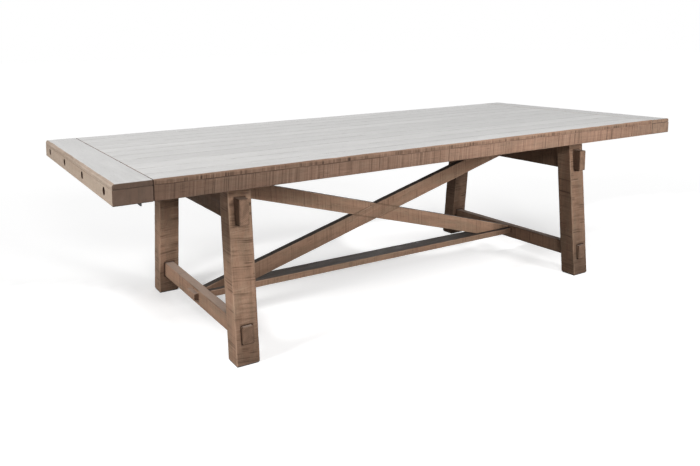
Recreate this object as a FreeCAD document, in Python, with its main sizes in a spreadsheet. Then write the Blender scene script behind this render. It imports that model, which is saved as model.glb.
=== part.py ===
import FreeCAD, Part
import Sketcher
import math
import os
import re

# Counts of repeated pieces
PLANK_COUNT = 11
RUNNER_COUNT = 4

# Driving sizes in millimetres
SIZES = {
    # Whole table
    "table_length": 2921,
    "table_width": 1067,
    "table_height": 762,
    # Top boards and the rails that deepen their edge
    "plank_thickness": 18,
    "plank_ease": 1,
    "edge_round": 7,
    "end_round": 10,
    "rail_depth": 54,
    "rail_ease": 2.5,
    "side_rail_width": 60,
    "end_rail_width": 70,
    "batten_width": 120,
    # Draw-out ends
    "breadboard_width": 135,
    "seam_gap": 2.5,
    "end_travel": 457,
    "runner_width": 40,
    "runner_height": 42,
    "runner_gap": 15,
    "runner_tail": 20,
    "bolt_diameter": 10,
    "bolt_head_diameter": 22,
    "bolt_head_height": 6,
    "bolt_grip": 50,
    "counterbore_diameter": 27,
    "counterbore_depth": 12,
    "pin_diameter": 10,
    "pin_depth": 24,
    "pin_drop": 9,
    # Trestles
    "trestle_inset": 516.5,
    "glide_height": 4,
    "glide_inset": 4,
    "leg_width": 98,
    "leg_depth": 72,
    "leg_ease": 3,
    "foot_inset": 90.5,
    "head_inset": 146.5,
    "bolster_thickness": 42,
    "bolster_height": 163,
    "upper_tenon_height": 99,
    "upper_tenon_show": 33,
    "cross_thickness": 44,
    "cross_height": 66,
    "cross_clearance": 84,
    "lower_tenon_show": 11,
    "tenon_ease": 3,
    # Long stretcher and crossed braces
    "long_width": 82,
    "long_thickness": 29,
    "long_drop": 10,
    "long_tenon_show": 24,
    "brace_width": 72,
    "brace_thickness": 34,
    "brace_rise": 79,
    "brace_drop": 28,
    # Catches under the draw-out ends
    "catch_inset": 43,
    "catch_edge": 43,
    "catch_reach": 65,
    "lever_width": 20,
    "lever_thickness": 3,
    "lever_gap": 0.4,
    "lever_nose": 14,
    "tab_reach": 22,
    "tab_drop": 14,
    "tab_tip": 5,
    "pivot_diameter": 6,
    "stud_diameter": 8,
    "catch_head_diameter": 13,
    "catch_head_height": 3,
    "catch_grip": 20,
    # Angle brackets that fix the top to the trestles
    "bracket_leg": 36,
    "bracket_thickness": 3,
    "bracket_width": 30,
    "bracket_hole": 20,
    "bracket_inset": 85,
    "screw_diameter": 4.5,
    "screw_head_diameter": 9,
    "screw_head_height": 3,
    "screw_length": 18,
    # Clearances
    "joint_fit": 0.2,
    "slide_fit": 0.6,
    "turn_fit": 0.3,
    "slot_fit": 1.1,
}

# Sizes that follow from the driving ones
DERIVED = {
    "plank_width": f"table_width / {PLANK_COUNT}",
    "plank_bottom": "table_height - plank_thickness",
    "underside": "plank_bottom - rail_depth",
    "seam_x": "table_length / 2 - breadboard_width",
    "main_half": "seam_x - seam_gap",
    "side_y": "table_width / 2 - side_rail_width",
    "outer_runner_y": "side_y - runner_gap - runner_width / 2",
    "runner_top": "plank_bottom - slide_fit",
    "runner_bottom": "runner_top - runner_height",
    "bolt_z": "runner_top - runner_height / 2",
    "bolt_hole": "bolt_diameter + 2 * joint_fit",
    "counterbore_floor": "table_length / 2 - counterbore_depth",
    "trestle_x": "table_length / 2 - trestle_inset",
    "pin_x": "trestle_x - batten_width / 2 - pin_diameter / 2 - end_travel - slide_fit",
    "runner_end": "pin_x - runner_tail",
    "foot_reach": "table_width / 2 - foot_inset",
    "head_reach": "table_width / 2 - head_inset",
    "leg_lean": "(foot_reach - head_reach) / (underside - glide_height)",
    "bolster_bottom": "underside - bolster_height",
    "upper_tenon_top": "bolster_bottom + upper_tenon_height",
    "upper_tenon_mid": "bolster_bottom + upper_tenon_height / 2",
    "cross_top": "cross_clearance + cross_height",
    "cross_mid": "cross_clearance + cross_height / 2",
    "long_top": "cross_top - long_drop",
    "long_bottom": "long_top - long_thickness",
    "long_half": "trestle_x + cross_thickness / 2 + long_tenon_show",
    "brace_top_x": "trestle_x - bolster_thickness / 2",
    "brace_foot_x": "trestle_x - cross_thickness / 2",
    "brace_top_z": "bolster_bottom + brace_rise",
    "brace_foot_z": "long_top - brace_drop",
    "brace_slope": "(brace_top_z - brace_foot_z) / (brace_top_x + brace_foot_x)",
    "brace_mid_z": "brace_foot_z + brace_slope * brace_foot_x",
    "brace_half": "brace_width / 2 * sqrt(1 + brace_slope^2)",
    "brace_toe_x": "(long_top - brace_mid_z + brace_half) / brace_slope",
    "pivot_x": "seam_x + catch_inset",
    "pivot_y": "table_width / 2 - catch_edge",
    "stud_x": "pivot_x - catch_reach",
    "lever_top": "underside - lever_gap",
    "catch_head_top": "lever_top - lever_thickness - turn_fit",
    "catch_shank": "underside + catch_grip - catch_head_top",
    "slot_half": "stud_diameter / 2 + slot_fit",
    "lever_half": "lever_width / 2",
    "bracket_y": "head_reach - leg_depth - bracket_inset",
    "bracket_screw_x": "bolster_thickness / 2 + bracket_hole",
    "bracket_screw_z": "underside - bracket_hole",
    "screw_hole": "screw_diameter + 2 * joint_fit",
}

# Where the two draw-out ends sit: name, sign along X, turn about Z
ENDS = [("left", -1, 180), ("right", 1, 0)]
ROWS = [("front", -1), ("back", 1)]
RUNNER_ROWS = [2 * k / (RUNNER_COUNT - 1) - 1 for k in range(RUNNER_COUNT)]
TOUCH = 0.001

doc = FreeCAD.newDocument("trestle_table")
sheet = doc.addObject("Spreadsheet::Sheet", "Sizes")
for line, (alias, value) in enumerate(SIZES.items(), start=1):
    sheet.set(f"A{line}", str(value))
    sheet.setAlias(f"A{line}", alias)
doc.recompute()
nodes = {}


def formula(text):
    """Expression for a formula written in the words of SIZES and DERIVED."""
    def word(match):
        name = match.group(0)
        if name in SIZES:
            return "Sizes." + name
        if name in DERIVED:
            return "(" + formula(DERIVED[name]) + ")"
        return name
    return re.sub(r"[a-z_]+", word, str(text))


def bind(thing, **formulas):
    """Tie properties of an object to formulas."""
    for name, text in formulas.items():
        thing.setExpression(name.replace("__", "."), formula(text))


def place(thing, x=0, y=0, z=0, axis=(0, 0, 1), turn=0):
    """Turn an object about an axis and tie its position to formulas."""
    turned_by = FreeCAD.Rotation(FreeCAD.Vector(*axis), turn)
    thing.Placement = FreeCAD.Placement(FreeCAD.Vector(), turned_by)
    bind(thing, Placement__Base__x=x, Placement__Base__y=y, Placement__Base__z=z)


def new_body(label, node=True, **position):
    """Empty body, listed as a sub-part unless it belongs to a group."""
    body = doc.addObject("PartDesign::Body", label)
    body.Label = label
    place(body, **position)
    if node:
        nodes[label] = body
    return body


def group(label, members):
    """Separate solids of one kind kept as one sub-part."""
    compound = doc.addObject("Part::Compound", label)
    compound.Label = label
    compound.Links = members
    nodes[label] = compound


def new_sketch(body, plane, offset=0):
    """Sketch on an origin plane of the body, moved along its normal."""
    sketch = body.newObject("Sketcher::SketchObject", body.Name + "_sketch")
    support = next(f for f in body.Origin.OriginFeatures if f.Role == plane)
    sketch.AttachmentSupport = (support, [""])
    sketch.MapMode = "FlatFace"
    bind(sketch, AttachmentOffset__Base__z=offset)
    return sketch


def hold(sketch, kind, geometry, point, text):
    """Distance of a point from the sketch origin."""
    number = sketch.addConstraint(Sketcher.Constraint(kind, -1, 1, geometry, point, 1.0))
    sketch.setExpression(f"Constraints[{number}]", formula(text))


def add_loop(sketch, corners):
    """Closed outline whose corners are held by formulas."""
    first = sketch.GeometryCount
    count = len(corners)
    angles = [2 * math.pi * k / count for k in range(count)]
    guess = [FreeCAD.Vector(math.cos(a), math.sin(a), 0) for a in angles]
    for k in range(count):
        sketch.addGeometry(Part.LineSegment(guess[k], guess[(k + 1) % count]), False)
    for k in range(count):
        joint = Sketcher.Constraint("Coincident", first + k, 2, first + (k + 1) % count, 1)
        sketch.addConstraint(joint)
    for k, (across, up) in enumerate(corners):
        hold(sketch, "DistanceX", first + k, 1, across)
        hold(sketch, "DistanceY", first + k, 1, up)


def add_circle(sketch, across, up, diameter):
    """Circle held by formulas for its centre and diameter."""
    circle = Part.Circle(FreeCAD.Vector(1, 1, 0), FreeCAD.Vector(0, 0, 1), 1)
    geometry = sketch.addGeometry(circle, False)
    hold(sketch, "DistanceX", geometry, 3, across)
    hold(sketch, "DistanceY", geometry, 3, up)
    number = sketch.addConstraint(Sketcher.Constraint("Diameter", geometry, 2.0))
    sketch.setExpression(f"Constraints[{number}]", formula(diameter))


def rectangle(left, bottom, right, top):
    """Corners of an upright rectangle."""
    return [(left, bottom), (right, bottom), (right, top), (left, top)]


def mirrored(corners):
    """The same corners on the other side of the sketch's upright axis."""
    return [(f"-({across})", up) for across, up in corners]


def pad(body, plane, corners, length, offset=0, side="Symmetric", away=False):
    """Board padded from an outline."""
    sketch = new_sketch(body, plane, offset)
    add_loop(sketch, corners)
    feature = body.newObject("PartDesign::Pad", body.Name + "_pad")
    feature.Profile = sketch
    feature.SideType = side
    feature.Reversed = away
    bind(feature, Length=length)


def pocket(body, sketch, depth=None, away=False):
    """Cut the sketch right through, or to a depth."""
    feature = body.newObject("PartDesign::Pocket", body.Name + "_pocket")
    feature.Profile = sketch
    if depth is None:
        feature.SideType = "Symmetric"
        feature.Type = "ThroughAll"
    else:
        feature.Reversed = away
        bind(feature, Length=depth)


def cut(body, plane, corners, depth=None, away=False):
    """Straight-sided mortise or lap."""
    sketch = new_sketch(body, plane)
    add_loop(sketch, corners)
    pocket(body, sketch, depth, away)


def bore(body, plane, centres, diameter, offset=0, depth=None, away=False):
    """Round holes of one diameter."""
    sketch = new_sketch(body, plane, offset)
    for across, up in centres:
        add_circle(sketch, across, up, diameter)
    pocket(body, sketch, depth, away)


def near(one, other):
    """Whether two positions are the same."""
    return abs(one - other) < TOUCH


def ease(body, kind, amount, chosen):
    """Bevel or round the edges picked by a test on their box and the body's box."""
    doc.recompute()
    last = body.Tip
    whole = last.Shape.BoundBox
    picked = [k for k, edge in enumerate(last.Shape.Edges, 1) if chosen(edge.BoundBox, whole)]
    feature = body.newObject("PartDesign::" + kind, body.Name + "_ease")
    feature.Base = (last, [f"Edge{k}" for k in picked])
    if kind == "Fillet":
        bind(feature, Radius=amount)
    else:
        bind(feature, Size=amount)


def turned(label, head, head_height, shank, shank_length, **position):
    """Headed pin turned about its own Z, its shank rising from the head's seat at zero."""
    body = new_body(label, node=False, **position)
    sketch = new_sketch(body, "XZ_Plane")
    profile = [
        (0, f"-({head_height})"),
        (f"{head} / 2", f"-({head_height})"),
        (f"{head} / 2", 0),
        (f"{shank} / 2", 0),
        (f"{shank} / 2", shank_length),
        (0, shank_length),
    ]
    add_loop(sketch, profile)
    feature = body.newObject("PartDesign::Revolution", label + "_turn")
    feature.Profile = sketch
    feature.ReferenceAxis = (sketch, ["V_Axis"])
    return body


def leg_face(height):
    """Distance of a leg's sloping outer face from the table's middle at a height."""
    return f"(foot_reach - leg_lean * ({height} - glide_height))"


def leg_inner(height):
    """Distance of a leg's sloping inner face from the table's middle at a height."""
    return f"({leg_face(height)} - leg_depth)"


def notched(bottom, top):
    """Cross piece with an open-topped notch for each runner."""
    corners = [("-(side_y)", top), ("-(side_y)", bottom), ("side_y", bottom), ("side_y", top)]
    for row in reversed(RUNNER_ROWS):
        middle = f"{row} * outer_runner_y"
        half = "(runner_width / 2 + slide_fit)"
        floor = "runner_bottom - slide_fit"
        corners.append((f"{middle} + {half}", top))
        corners.append((f"{middle} + {half}", floor))
        corners.append((f"{middle} - {half}", floor))
        corners.append((f"{middle} - {half}", top))
    return corners


def build_planks():
    """Lengthwise top boards, side by side."""
    for k in range(PLANK_COUNT):
        middle = f"{k + 0.5 - PLANK_COUNT / 2} * plank_width"
        plank = new_body(f"top_plank_{k + 1:02d}", y=middle, z="plank_bottom")
        outline = rectangle("-(main_half)", "-(plank_width / 2)", "main_half", "plank_width / 2")
        pad(plank, "XY_Plane", outline, "plank_thickness", side="One side")
        at_front = k == 0
        at_back = k == PLANK_COUNT - 1
        if at_front:
            ease(plank, "Fillet", "edge_round",
                 lambda e, w: near(e.ZMin, w.ZMax) and near(e.YMax, w.YMin))
        if at_back:
            ease(plank, "Fillet", "edge_round",
                 lambda e, w: near(e.ZMin, w.ZMax) and near(e.YMin, w.YMax))
        if not at_front:
            ease(plank, "Chamfer", "plank_ease",
                 lambda e, w: near(e.ZMin, w.ZMax) and near(e.YMax, w.YMin))
        if not at_back:
            ease(plank, "Chamfer", "plank_ease",
                 lambda e, w: near(e.ZMin, w.ZMax) and near(e.YMin, w.YMax))


def build_underframe():
    """Rails round the main top and battens across it."""
    for row, sign in ROWS:
        turn = 180 if sign < 0 else 0
        rail = new_body(f"side_rail_{row}", turn=turn)
        outline = rectangle("side_y", "underside", "table_width / 2", "plank_bottom")
        pad(rail, "YZ_Plane", outline, "2 * main_half")
        ease(rail, "Chamfer", "rail_ease", lambda e, w: near(e.YMin, w.YMax) and e.XLength > TOUCH)
        bore(rail, "XY_Plane", [("stud_x", "pivot_y")], "stud_diameter + 2 * joint_fit",
             "underside", "catch_grip", True)
    for end, sign, turn in ENDS:
        rail = new_body(f"end_rail_{end}", x=f"{sign} * (main_half - end_rail_width / 2)")
        pad(rail, "YZ_Plane", notched("underside", "plank_bottom"), "end_rail_width")
        batten = new_body(f"cross_batten_{end}", x=f"{sign} * trestle_x")
        pad(batten, "YZ_Plane", notched("underside", "plank_bottom"), "batten_width")
        screws = [(f"{dx} * bracket_screw_x", f"{dy} * bracket_y") for dx in (-1, 1) for dy in (-1, 1)]
        bore(batten, "XY_Plane", screws, "screw_hole", "underside", "screw_length", True)
    middle = new_body("cross_batten_middle")
    outline = rectangle("-(side_y)", "underside", "side_y", "plank_bottom")
    pad(middle, "YZ_Plane", outline, "batten_width")


def build_draw_ends():
    """Breadboard ends with the runners that carry them."""
    rows = [f"{row} * outer_runner_y" for row in RUNNER_ROWS]
    for end, sign, turn in ENDS:
        board = new_body(f"breadboard_{end}", turn=turn)
        outline = rectangle("seam_x", "plank_bottom", "table_length / 2", "table_height")
        pad(board, "XZ_Plane", outline, "table_width")
        ease(board, "Fillet", "end_round",
             lambda e, w: near(e.ZMin, w.ZMax) and not near(e.XMax, w.XMin))
        rail = new_body(f"breadboard_rail_{end}", turn=turn)
        outline = rectangle("seam_x", "underside", "table_length / 2", "plank_bottom")
        pad(rail, "XZ_Plane", outline, "table_width")
        ease(rail, "Chamfer", "rail_ease", lambda e, w: e.ZLength < TOUCH and not near(e.XMax, w.XMin))
        bolts = [(row, "bolt_z") for row in rows]
        bore(rail, "YZ_Plane", bolts, "bolt_hole")
        bore(rail, "YZ_Plane", bolts, "counterbore_diameter", "table_length / 2", "counterbore_depth")
        bore(rail, "XY_Plane", [("pivot_x", "pivot_y")], "pivot_diameter + 2 * joint_fit",
             "underside", "catch_grip", True)
        bolt_bodies = []
        pin_bodies = []
        for k, row in enumerate(rows, start=1):
            runner = new_body(f"runner_{end}_{k}", y=row, turn=turn)
            outline = rectangle("runner_end", "runner_bottom", "seam_x", "runner_top")
            pad(runner, "XZ_Plane", outline, "runner_width")
            bore(runner, "YZ_Plane", [(0, "bolt_z")], "bolt_hole", "seam_x", "bolt_grip")
            bore(runner, "XY_Plane", [("pin_x", 0)], "pin_diameter + 2 * joint_fit",
                 "runner_bottom", "pin_depth", True)
            bolt_bodies.append(turned(
                f"end_bolt_{end}_{k}", "bolt_head_diameter", "bolt_head_height", "bolt_diameter",
                "breadboard_width - counterbore_depth + bolt_grip",
                x=f"{sign} * counterbore_floor", y=row, z="bolt_z", axis=(0, 1, 0), turn=-90 * sign))
            pin = new_body(f"stop_pin_{end}_{k}", node=False, x=f"{sign} * pin_x", y=row,
                           z="runner_bottom - pin_drop")
            sketch = new_sketch(pin, "XY_Plane")
            add_circle(sketch, 0, 0, "pin_diameter")
            feature = pin.newObject("PartDesign::Pad", pin.Name + "_pad")
            feature.Profile = sketch
            bind(feature, Length="pin_drop + pin_depth")
            pin_bodies.append(pin)
        group(f"end_bolts_{end}", bolt_bodies)
        group(f"stop_pins_{end}", pin_bodies)


def build_trestles():
    """Two splayed legs at each end, joined by a bolster and a cross stretcher."""
    glides = []
    for end, sign, turn in ENDS:
        trestle = f"{sign} * trestle_x"
        for row, side in ROWS:
            leg = new_body(f"leg_{end}_{row}", x=trestle, turn=0 if side > 0 else 180)
            outline = [
                ("foot_reach - leg_depth", "glide_height"),
                ("foot_reach", "glide_height"),
                ("head_reach", "underside"),
                ("head_reach - leg_depth", "underside"),
            ]
            pad(leg, "YZ_Plane", outline, "leg_width")
            ease(leg, "Chamfer", "leg_ease", lambda e, w: near(e.ZLength, w.ZLength))
            half = "(bolster_thickness / 2 + joint_fit)"
            cut(leg, "XZ_Plane", rectangle(f"-{half}", "bolster_bottom", half, "upper_tenon_top + 2 * joint_fit"))
            half = "(cross_thickness / 2 + joint_fit)"
            cut(leg, "XZ_Plane", rectangle(f"-{half}", "cross_clearance", half, "cross_top + 2 * joint_fit"))
            glide = doc.addObject("Part::Box", f"foot_glide_{end}_{row}")
            bind(glide, Length="leg_width - 2 * glide_inset", Width="leg_depth - 2 * glide_inset",
                 Height="glide_height")
            place(glide, x=f"{trestle} - leg_width / 2 + glide_inset",
                  y=f"{side} * (foot_reach - leg_depth / 2) - leg_depth / 2 + glide_inset")
            glides.append(glide)
        build_bolster(end, trestle)
        build_cross_stretcher(end, trestle)
    group("foot_glides", glides)


def build_bolster(end, trestle):
    """Upper cross rail with sloping shoulders and haunched through tenons."""
    bolster = new_body(f"bolster_{end}", x=trestle)
    reach = f"{leg_face('upper_tenon_mid')} + upper_tenon_show"
    right = [
        (reach, "bolster_bottom"),
        (reach, "upper_tenon_top"),
        (leg_inner("upper_tenon_top"), "upper_tenon_top"),
        (leg_inner("underside"), "underside"),
    ]
    pad(bolster, "YZ_Plane", right + mirrored(right)[::-1], "bolster_thickness")
    ease(bolster, "Chamfer", "tenon_ease", lambda e, w: near(e.YMin, w.YMax) or near(e.YMax, w.YMin))
    screws = [(f"{dy} * bracket_y", "bracket_screw_z") for dy in (-1, 1)]
    bore(bolster, "YZ_Plane", screws, "screw_hole")


def build_cross_stretcher(end, trestle):
    """Lower cross rail, through-tenoned, with a mortise for the long stretcher."""
    stretcher = new_body(f"cross_stretcher_{end}", x=trestle)
    reach = f"{leg_face('cross_mid')} + lower_tenon_show"
    pad(stretcher, "YZ_Plane", rectangle(f"-({reach})", "cross_clearance", reach, "cross_top"), "cross_thickness")
    ease(stretcher, "Chamfer", "tenon_ease", lambda e, w: near(e.YMin, w.YMax) or near(e.YMax, w.YMin))
    half = "(long_width / 2 + joint_fit)"
    cut(stretcher, "YZ_Plane", rectangle(f"-{half}", "long_bottom", half, "long_top + 2 * joint_fit"))


def build_long_pieces():
    """Flat stretcher between the trestles and the two braces that cross over it."""
    stretcher = new_body("long_stretcher")
    pad(stretcher, "XZ_Plane", rectangle("-(long_half)", "long_bottom", "long_half", "long_top"), "long_width")
    ease(stretcher, "Chamfer", "tenon_ease", lambda e, w: near(e.XMin, w.XMax) or near(e.XMax, w.XMin))
    outline = [
        ("brace_toe_x", "long_top"),
        ("brace_top_x", "brace_mid_z - brace_half + brace_slope * brace_top_x"),
        ("brace_top_x", "brace_mid_z + brace_half + brace_slope * brace_top_x"),
        ("-(brace_foot_x)", "brace_mid_z + brace_half - brace_slope * brace_foot_x"),
        ("-(brace_foot_x)", "long_top"),
    ]
    reach = "brace_half / brace_slope"
    lap = [
        (f"-({reach})", "brace_mid_z - brace_half - joint_fit - brace_half"),
        (reach, "brace_mid_z - brace_half - joint_fit + brace_half"),
        (reach, "brace_mid_z + brace_half + joint_fit + brace_half"),
        (f"-({reach})", "brace_mid_z + brace_half + joint_fit - brace_half"),
    ]
    for label, corners, notch, away in (
            ("brace_rising", outline, mirrored(lap), False),
            ("brace_falling", mirrored(outline), lap, True)):
        brace = new_body(label)
        pad(brace, "XZ_Plane", corners, "brace_thickness")
        cut(brace, "XZ_Plane", notch, "brace_thickness", away)


def build_catches():
    """Turning lever under a corner of each draw-out end, its pivot and the stud that it hooks.

    The two ends are alike, one turned half round, so the catches sit at the left front and the right back.
    """
    studs = []
    head = ("catch_head_diameter", "catch_head_height")
    for end, sign, turn in ENDS:
        level = {"y": f"{sign} * pivot_y", "z": "catch_head_top"}
        pivot = f"catch_pivot_{end}"
        nodes[pivot] = turned(pivot, *head, "pivot_diameter", "catch_shank", x=f"{sign} * pivot_x", **level)
        studs.append(turned(f"catch_stud_{end}", *head, "stud_diameter", "catch_shank", x=f"{sign} * stud_x", **level))
        build_lever(f"catch_lever_{end}", sign, turn)
    group("catch_studs", studs)


def build_lever(label, sign, turn):
    """Flat steel lever with a hooked arm inward and a bent-down thumb tab outward."""
    lever = new_body(label, x=f"{sign} * pivot_x", y=f"{sign} * pivot_y", z="lever_top", turn=turn)
    outline = [
        ("-(lever_half)", "tab_reach"),
        ("lever_half", "tab_reach"),
        ("lever_half", "-(catch_reach + lever_nose)"),
        ("-(lever_half)", "-(catch_reach + lever_nose)"),
        ("-(lever_half)", "-(catch_reach + slot_half)"),
        ("slot_half", "-(catch_reach + slot_half)"),
        ("slot_half", "-(catch_reach - slot_half)"),
        ("-(lever_half)", "-(catch_reach - slot_half)"),
    ]
    pad(lever, "XY_Plane", outline, "lever_thickness", side="One side", away=True)
    tab = [
        ("-(lever_half)", 0),
        ("lever_half", 0),
        ("tab_tip - lever_half", "-(tab_drop)"),
        ("-(lever_half)", "-(tab_drop)"),
    ]
    pad(lever, "XZ_Plane", tab, "lever_thickness", "-(tab_reach - lever_thickness / 2)")
    bore(lever, "XY_Plane", [(0, 0)], "pivot_diameter + 2 * turn_fit")


def build_fixings():
    """Steel angles under the top and the screws that hold them."""
    for end, sign, turn in ENDS:
        trestle = f"{sign} * trestle_x"
        brackets = []
        screws = []
        for face in (-1, 1):
            for row, side in ROWS:
                name = f"{end}_{row}_{'outer' if face == sign else 'inner'}"
                y = f"{side} * bracket_y"
                brackets.append(build_bracket("bracket_" + name, trestle, y, 0 if face > 0 else 180))
                head = ("screw_head_diameter", "screw_head_height", "screw_diameter")
                screws.append(turned(
                    "side_screw_" + name, *head, "screw_length",
                    x=f"{trestle} + {face} * (bolster_thickness / 2 + bracket_thickness)", y=y,
                    z="bracket_screw_z", axis=(0, 1, 0), turn=-90 * face))
                screws.append(turned(
                    "top_screw_" + name, *head, "screw_length",
                    x=f"{trestle} + {face} * bracket_screw_x", y=y, z="underside - bracket_thickness"))
        group(f"top_brackets_{end}", brackets)
        group(f"bracket_screws_{end}", screws)


def build_bracket(label, x, y, turn):
    """Angle bracket between a bolster's face and the batten above it."""
    bracket = new_body(label, node=False, x=x, y=y, turn=turn)
    inner = "bolster_thickness / 2"
    outline = [
        (inner, "underside - bracket_leg"),
        (f"{inner} + bracket_thickness", "underside - bracket_leg"),
        (f"{inner} + bracket_thickness", "underside - bracket_thickness"),
        (f"{inner} + bracket_leg", "underside - bracket_thickness"),
        (f"{inner} + bracket_leg", "underside"),
        (inner, "underside"),
    ]
    pad(bracket, "XZ_Plane", outline, "bracket_width")
    bore(bracket, "YZ_Plane", [(0, "bracket_screw_z")], "screw_hole")
    bore(bracket, "XY_Plane", [("bracket_screw_x", 0)], "screw_hole")
    return bracket


build_planks()
build_underframe()
build_draw_ends()
build_trestles()
build_long_pieces()
build_catches()
build_fixings()
doc.recompute()

faults = []
for thing in doc.Objects:
    if "Invalid" in thing.State or "Error" in thing.State:
        faults.append(thing.Label)
for label, thing in nodes.items():
    if thing.Shape.isNull() or not thing.Shape.isValid() or not thing.Shape.Solids:
        faults.append(label)
if faults:
    raise RuntimeError("unsound pieces: " + ", ".join(faults))

os.makedirs("parts", exist_ok=True)
for label, thing in nodes.items():
    thing.Shape.exportStep(f"parts/{label}.step")
print(len(nodes), "sub-parts written")
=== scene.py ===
import logging
import math
from dataclasses import dataclass, field, replace
from enum import Enum
from functools import cache

import bpy
import numpy as np
from mathutils import Matrix, Quaternion, Vector


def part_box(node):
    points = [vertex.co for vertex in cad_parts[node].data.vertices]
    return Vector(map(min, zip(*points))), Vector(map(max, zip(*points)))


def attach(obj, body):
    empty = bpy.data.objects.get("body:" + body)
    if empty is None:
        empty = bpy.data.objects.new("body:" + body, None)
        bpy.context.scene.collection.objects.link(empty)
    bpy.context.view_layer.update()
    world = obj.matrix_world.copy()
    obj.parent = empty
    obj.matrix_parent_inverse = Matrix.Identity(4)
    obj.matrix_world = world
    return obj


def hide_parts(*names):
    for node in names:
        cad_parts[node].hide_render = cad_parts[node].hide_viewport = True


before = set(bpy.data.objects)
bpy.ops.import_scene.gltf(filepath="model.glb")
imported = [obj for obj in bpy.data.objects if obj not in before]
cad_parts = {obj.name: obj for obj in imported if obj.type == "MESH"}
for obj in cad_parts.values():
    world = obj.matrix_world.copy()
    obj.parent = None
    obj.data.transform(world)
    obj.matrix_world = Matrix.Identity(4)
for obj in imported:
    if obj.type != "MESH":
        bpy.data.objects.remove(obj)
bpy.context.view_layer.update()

LOG = logging.getLogger("trestle_table")

Array = np.ndarray
Socket = bpy.types.NodeSocket
Colour = tuple[float, float, float]
Point = tuple[float, float, float]
Patch = tuple[tuple[float, float], tuple[float, float], float]

# Size of the picture, in pixels
IMAGE_WIDTH, IMAGE_HEIGHT = 700, 466

# Rise of the braces over their run
BRACE_SLOPE = 0.26775

# Lattices of the random fields on a board: metres along it, and corners or metres round it
WEAR_CELL = (0.06, 1.0)
LINE_CELL = (0.05, 1.0)
CHIP_CELL = (0.02, 0.02)
WAVE_CELL = (0.11, 0.05)

# Level of a random field above which an edge is chipped
CHIP_START = 0.35

# Sum of the end masks of two rings above which the face between them is end grain
END_FACE = 1.4

# Saw marks: finest step and overhang of their ruler, greatest skew and wave of their bow
RULER_STEP, RULER_MARGIN = 0.0005, 0.05
SAW_SKEW, BOW_WAVE = 0.06, 0.03

# Lengths over which painted shade sets in on a tenon and fades beside a joint
TENON_SHADE_RAMP, COLLAR = 0.004, 0.012

# Colour of the background and of the floor's glow
WHITE = (1.0, 1.0, 1.0, 1.0)


class GrainRun(Enum):
    """Direction of the grain, as the turn that brings it onto the X axis of a texture."""

    LENGTHWISE = (0.0, 0.0, 0.0)
    CROSSWISE = (0.0, 0.0, -math.pi / 2)
    UPRIGHT = (0.0, math.pi / 2, 0.0)
    RISING = (0.0, math.atan(BRACE_SLOPE), 0.0)
    FALLING = (0.0, -math.atan(BRACE_SLOPE), 0.0)


class Face(Enum):
    """Faces of a board, counted round its section, and its two ends."""

    TOP = 0
    LEFT = 1
    UNDER = 2
    RIGHT = 3
    ENDS = 4


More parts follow.
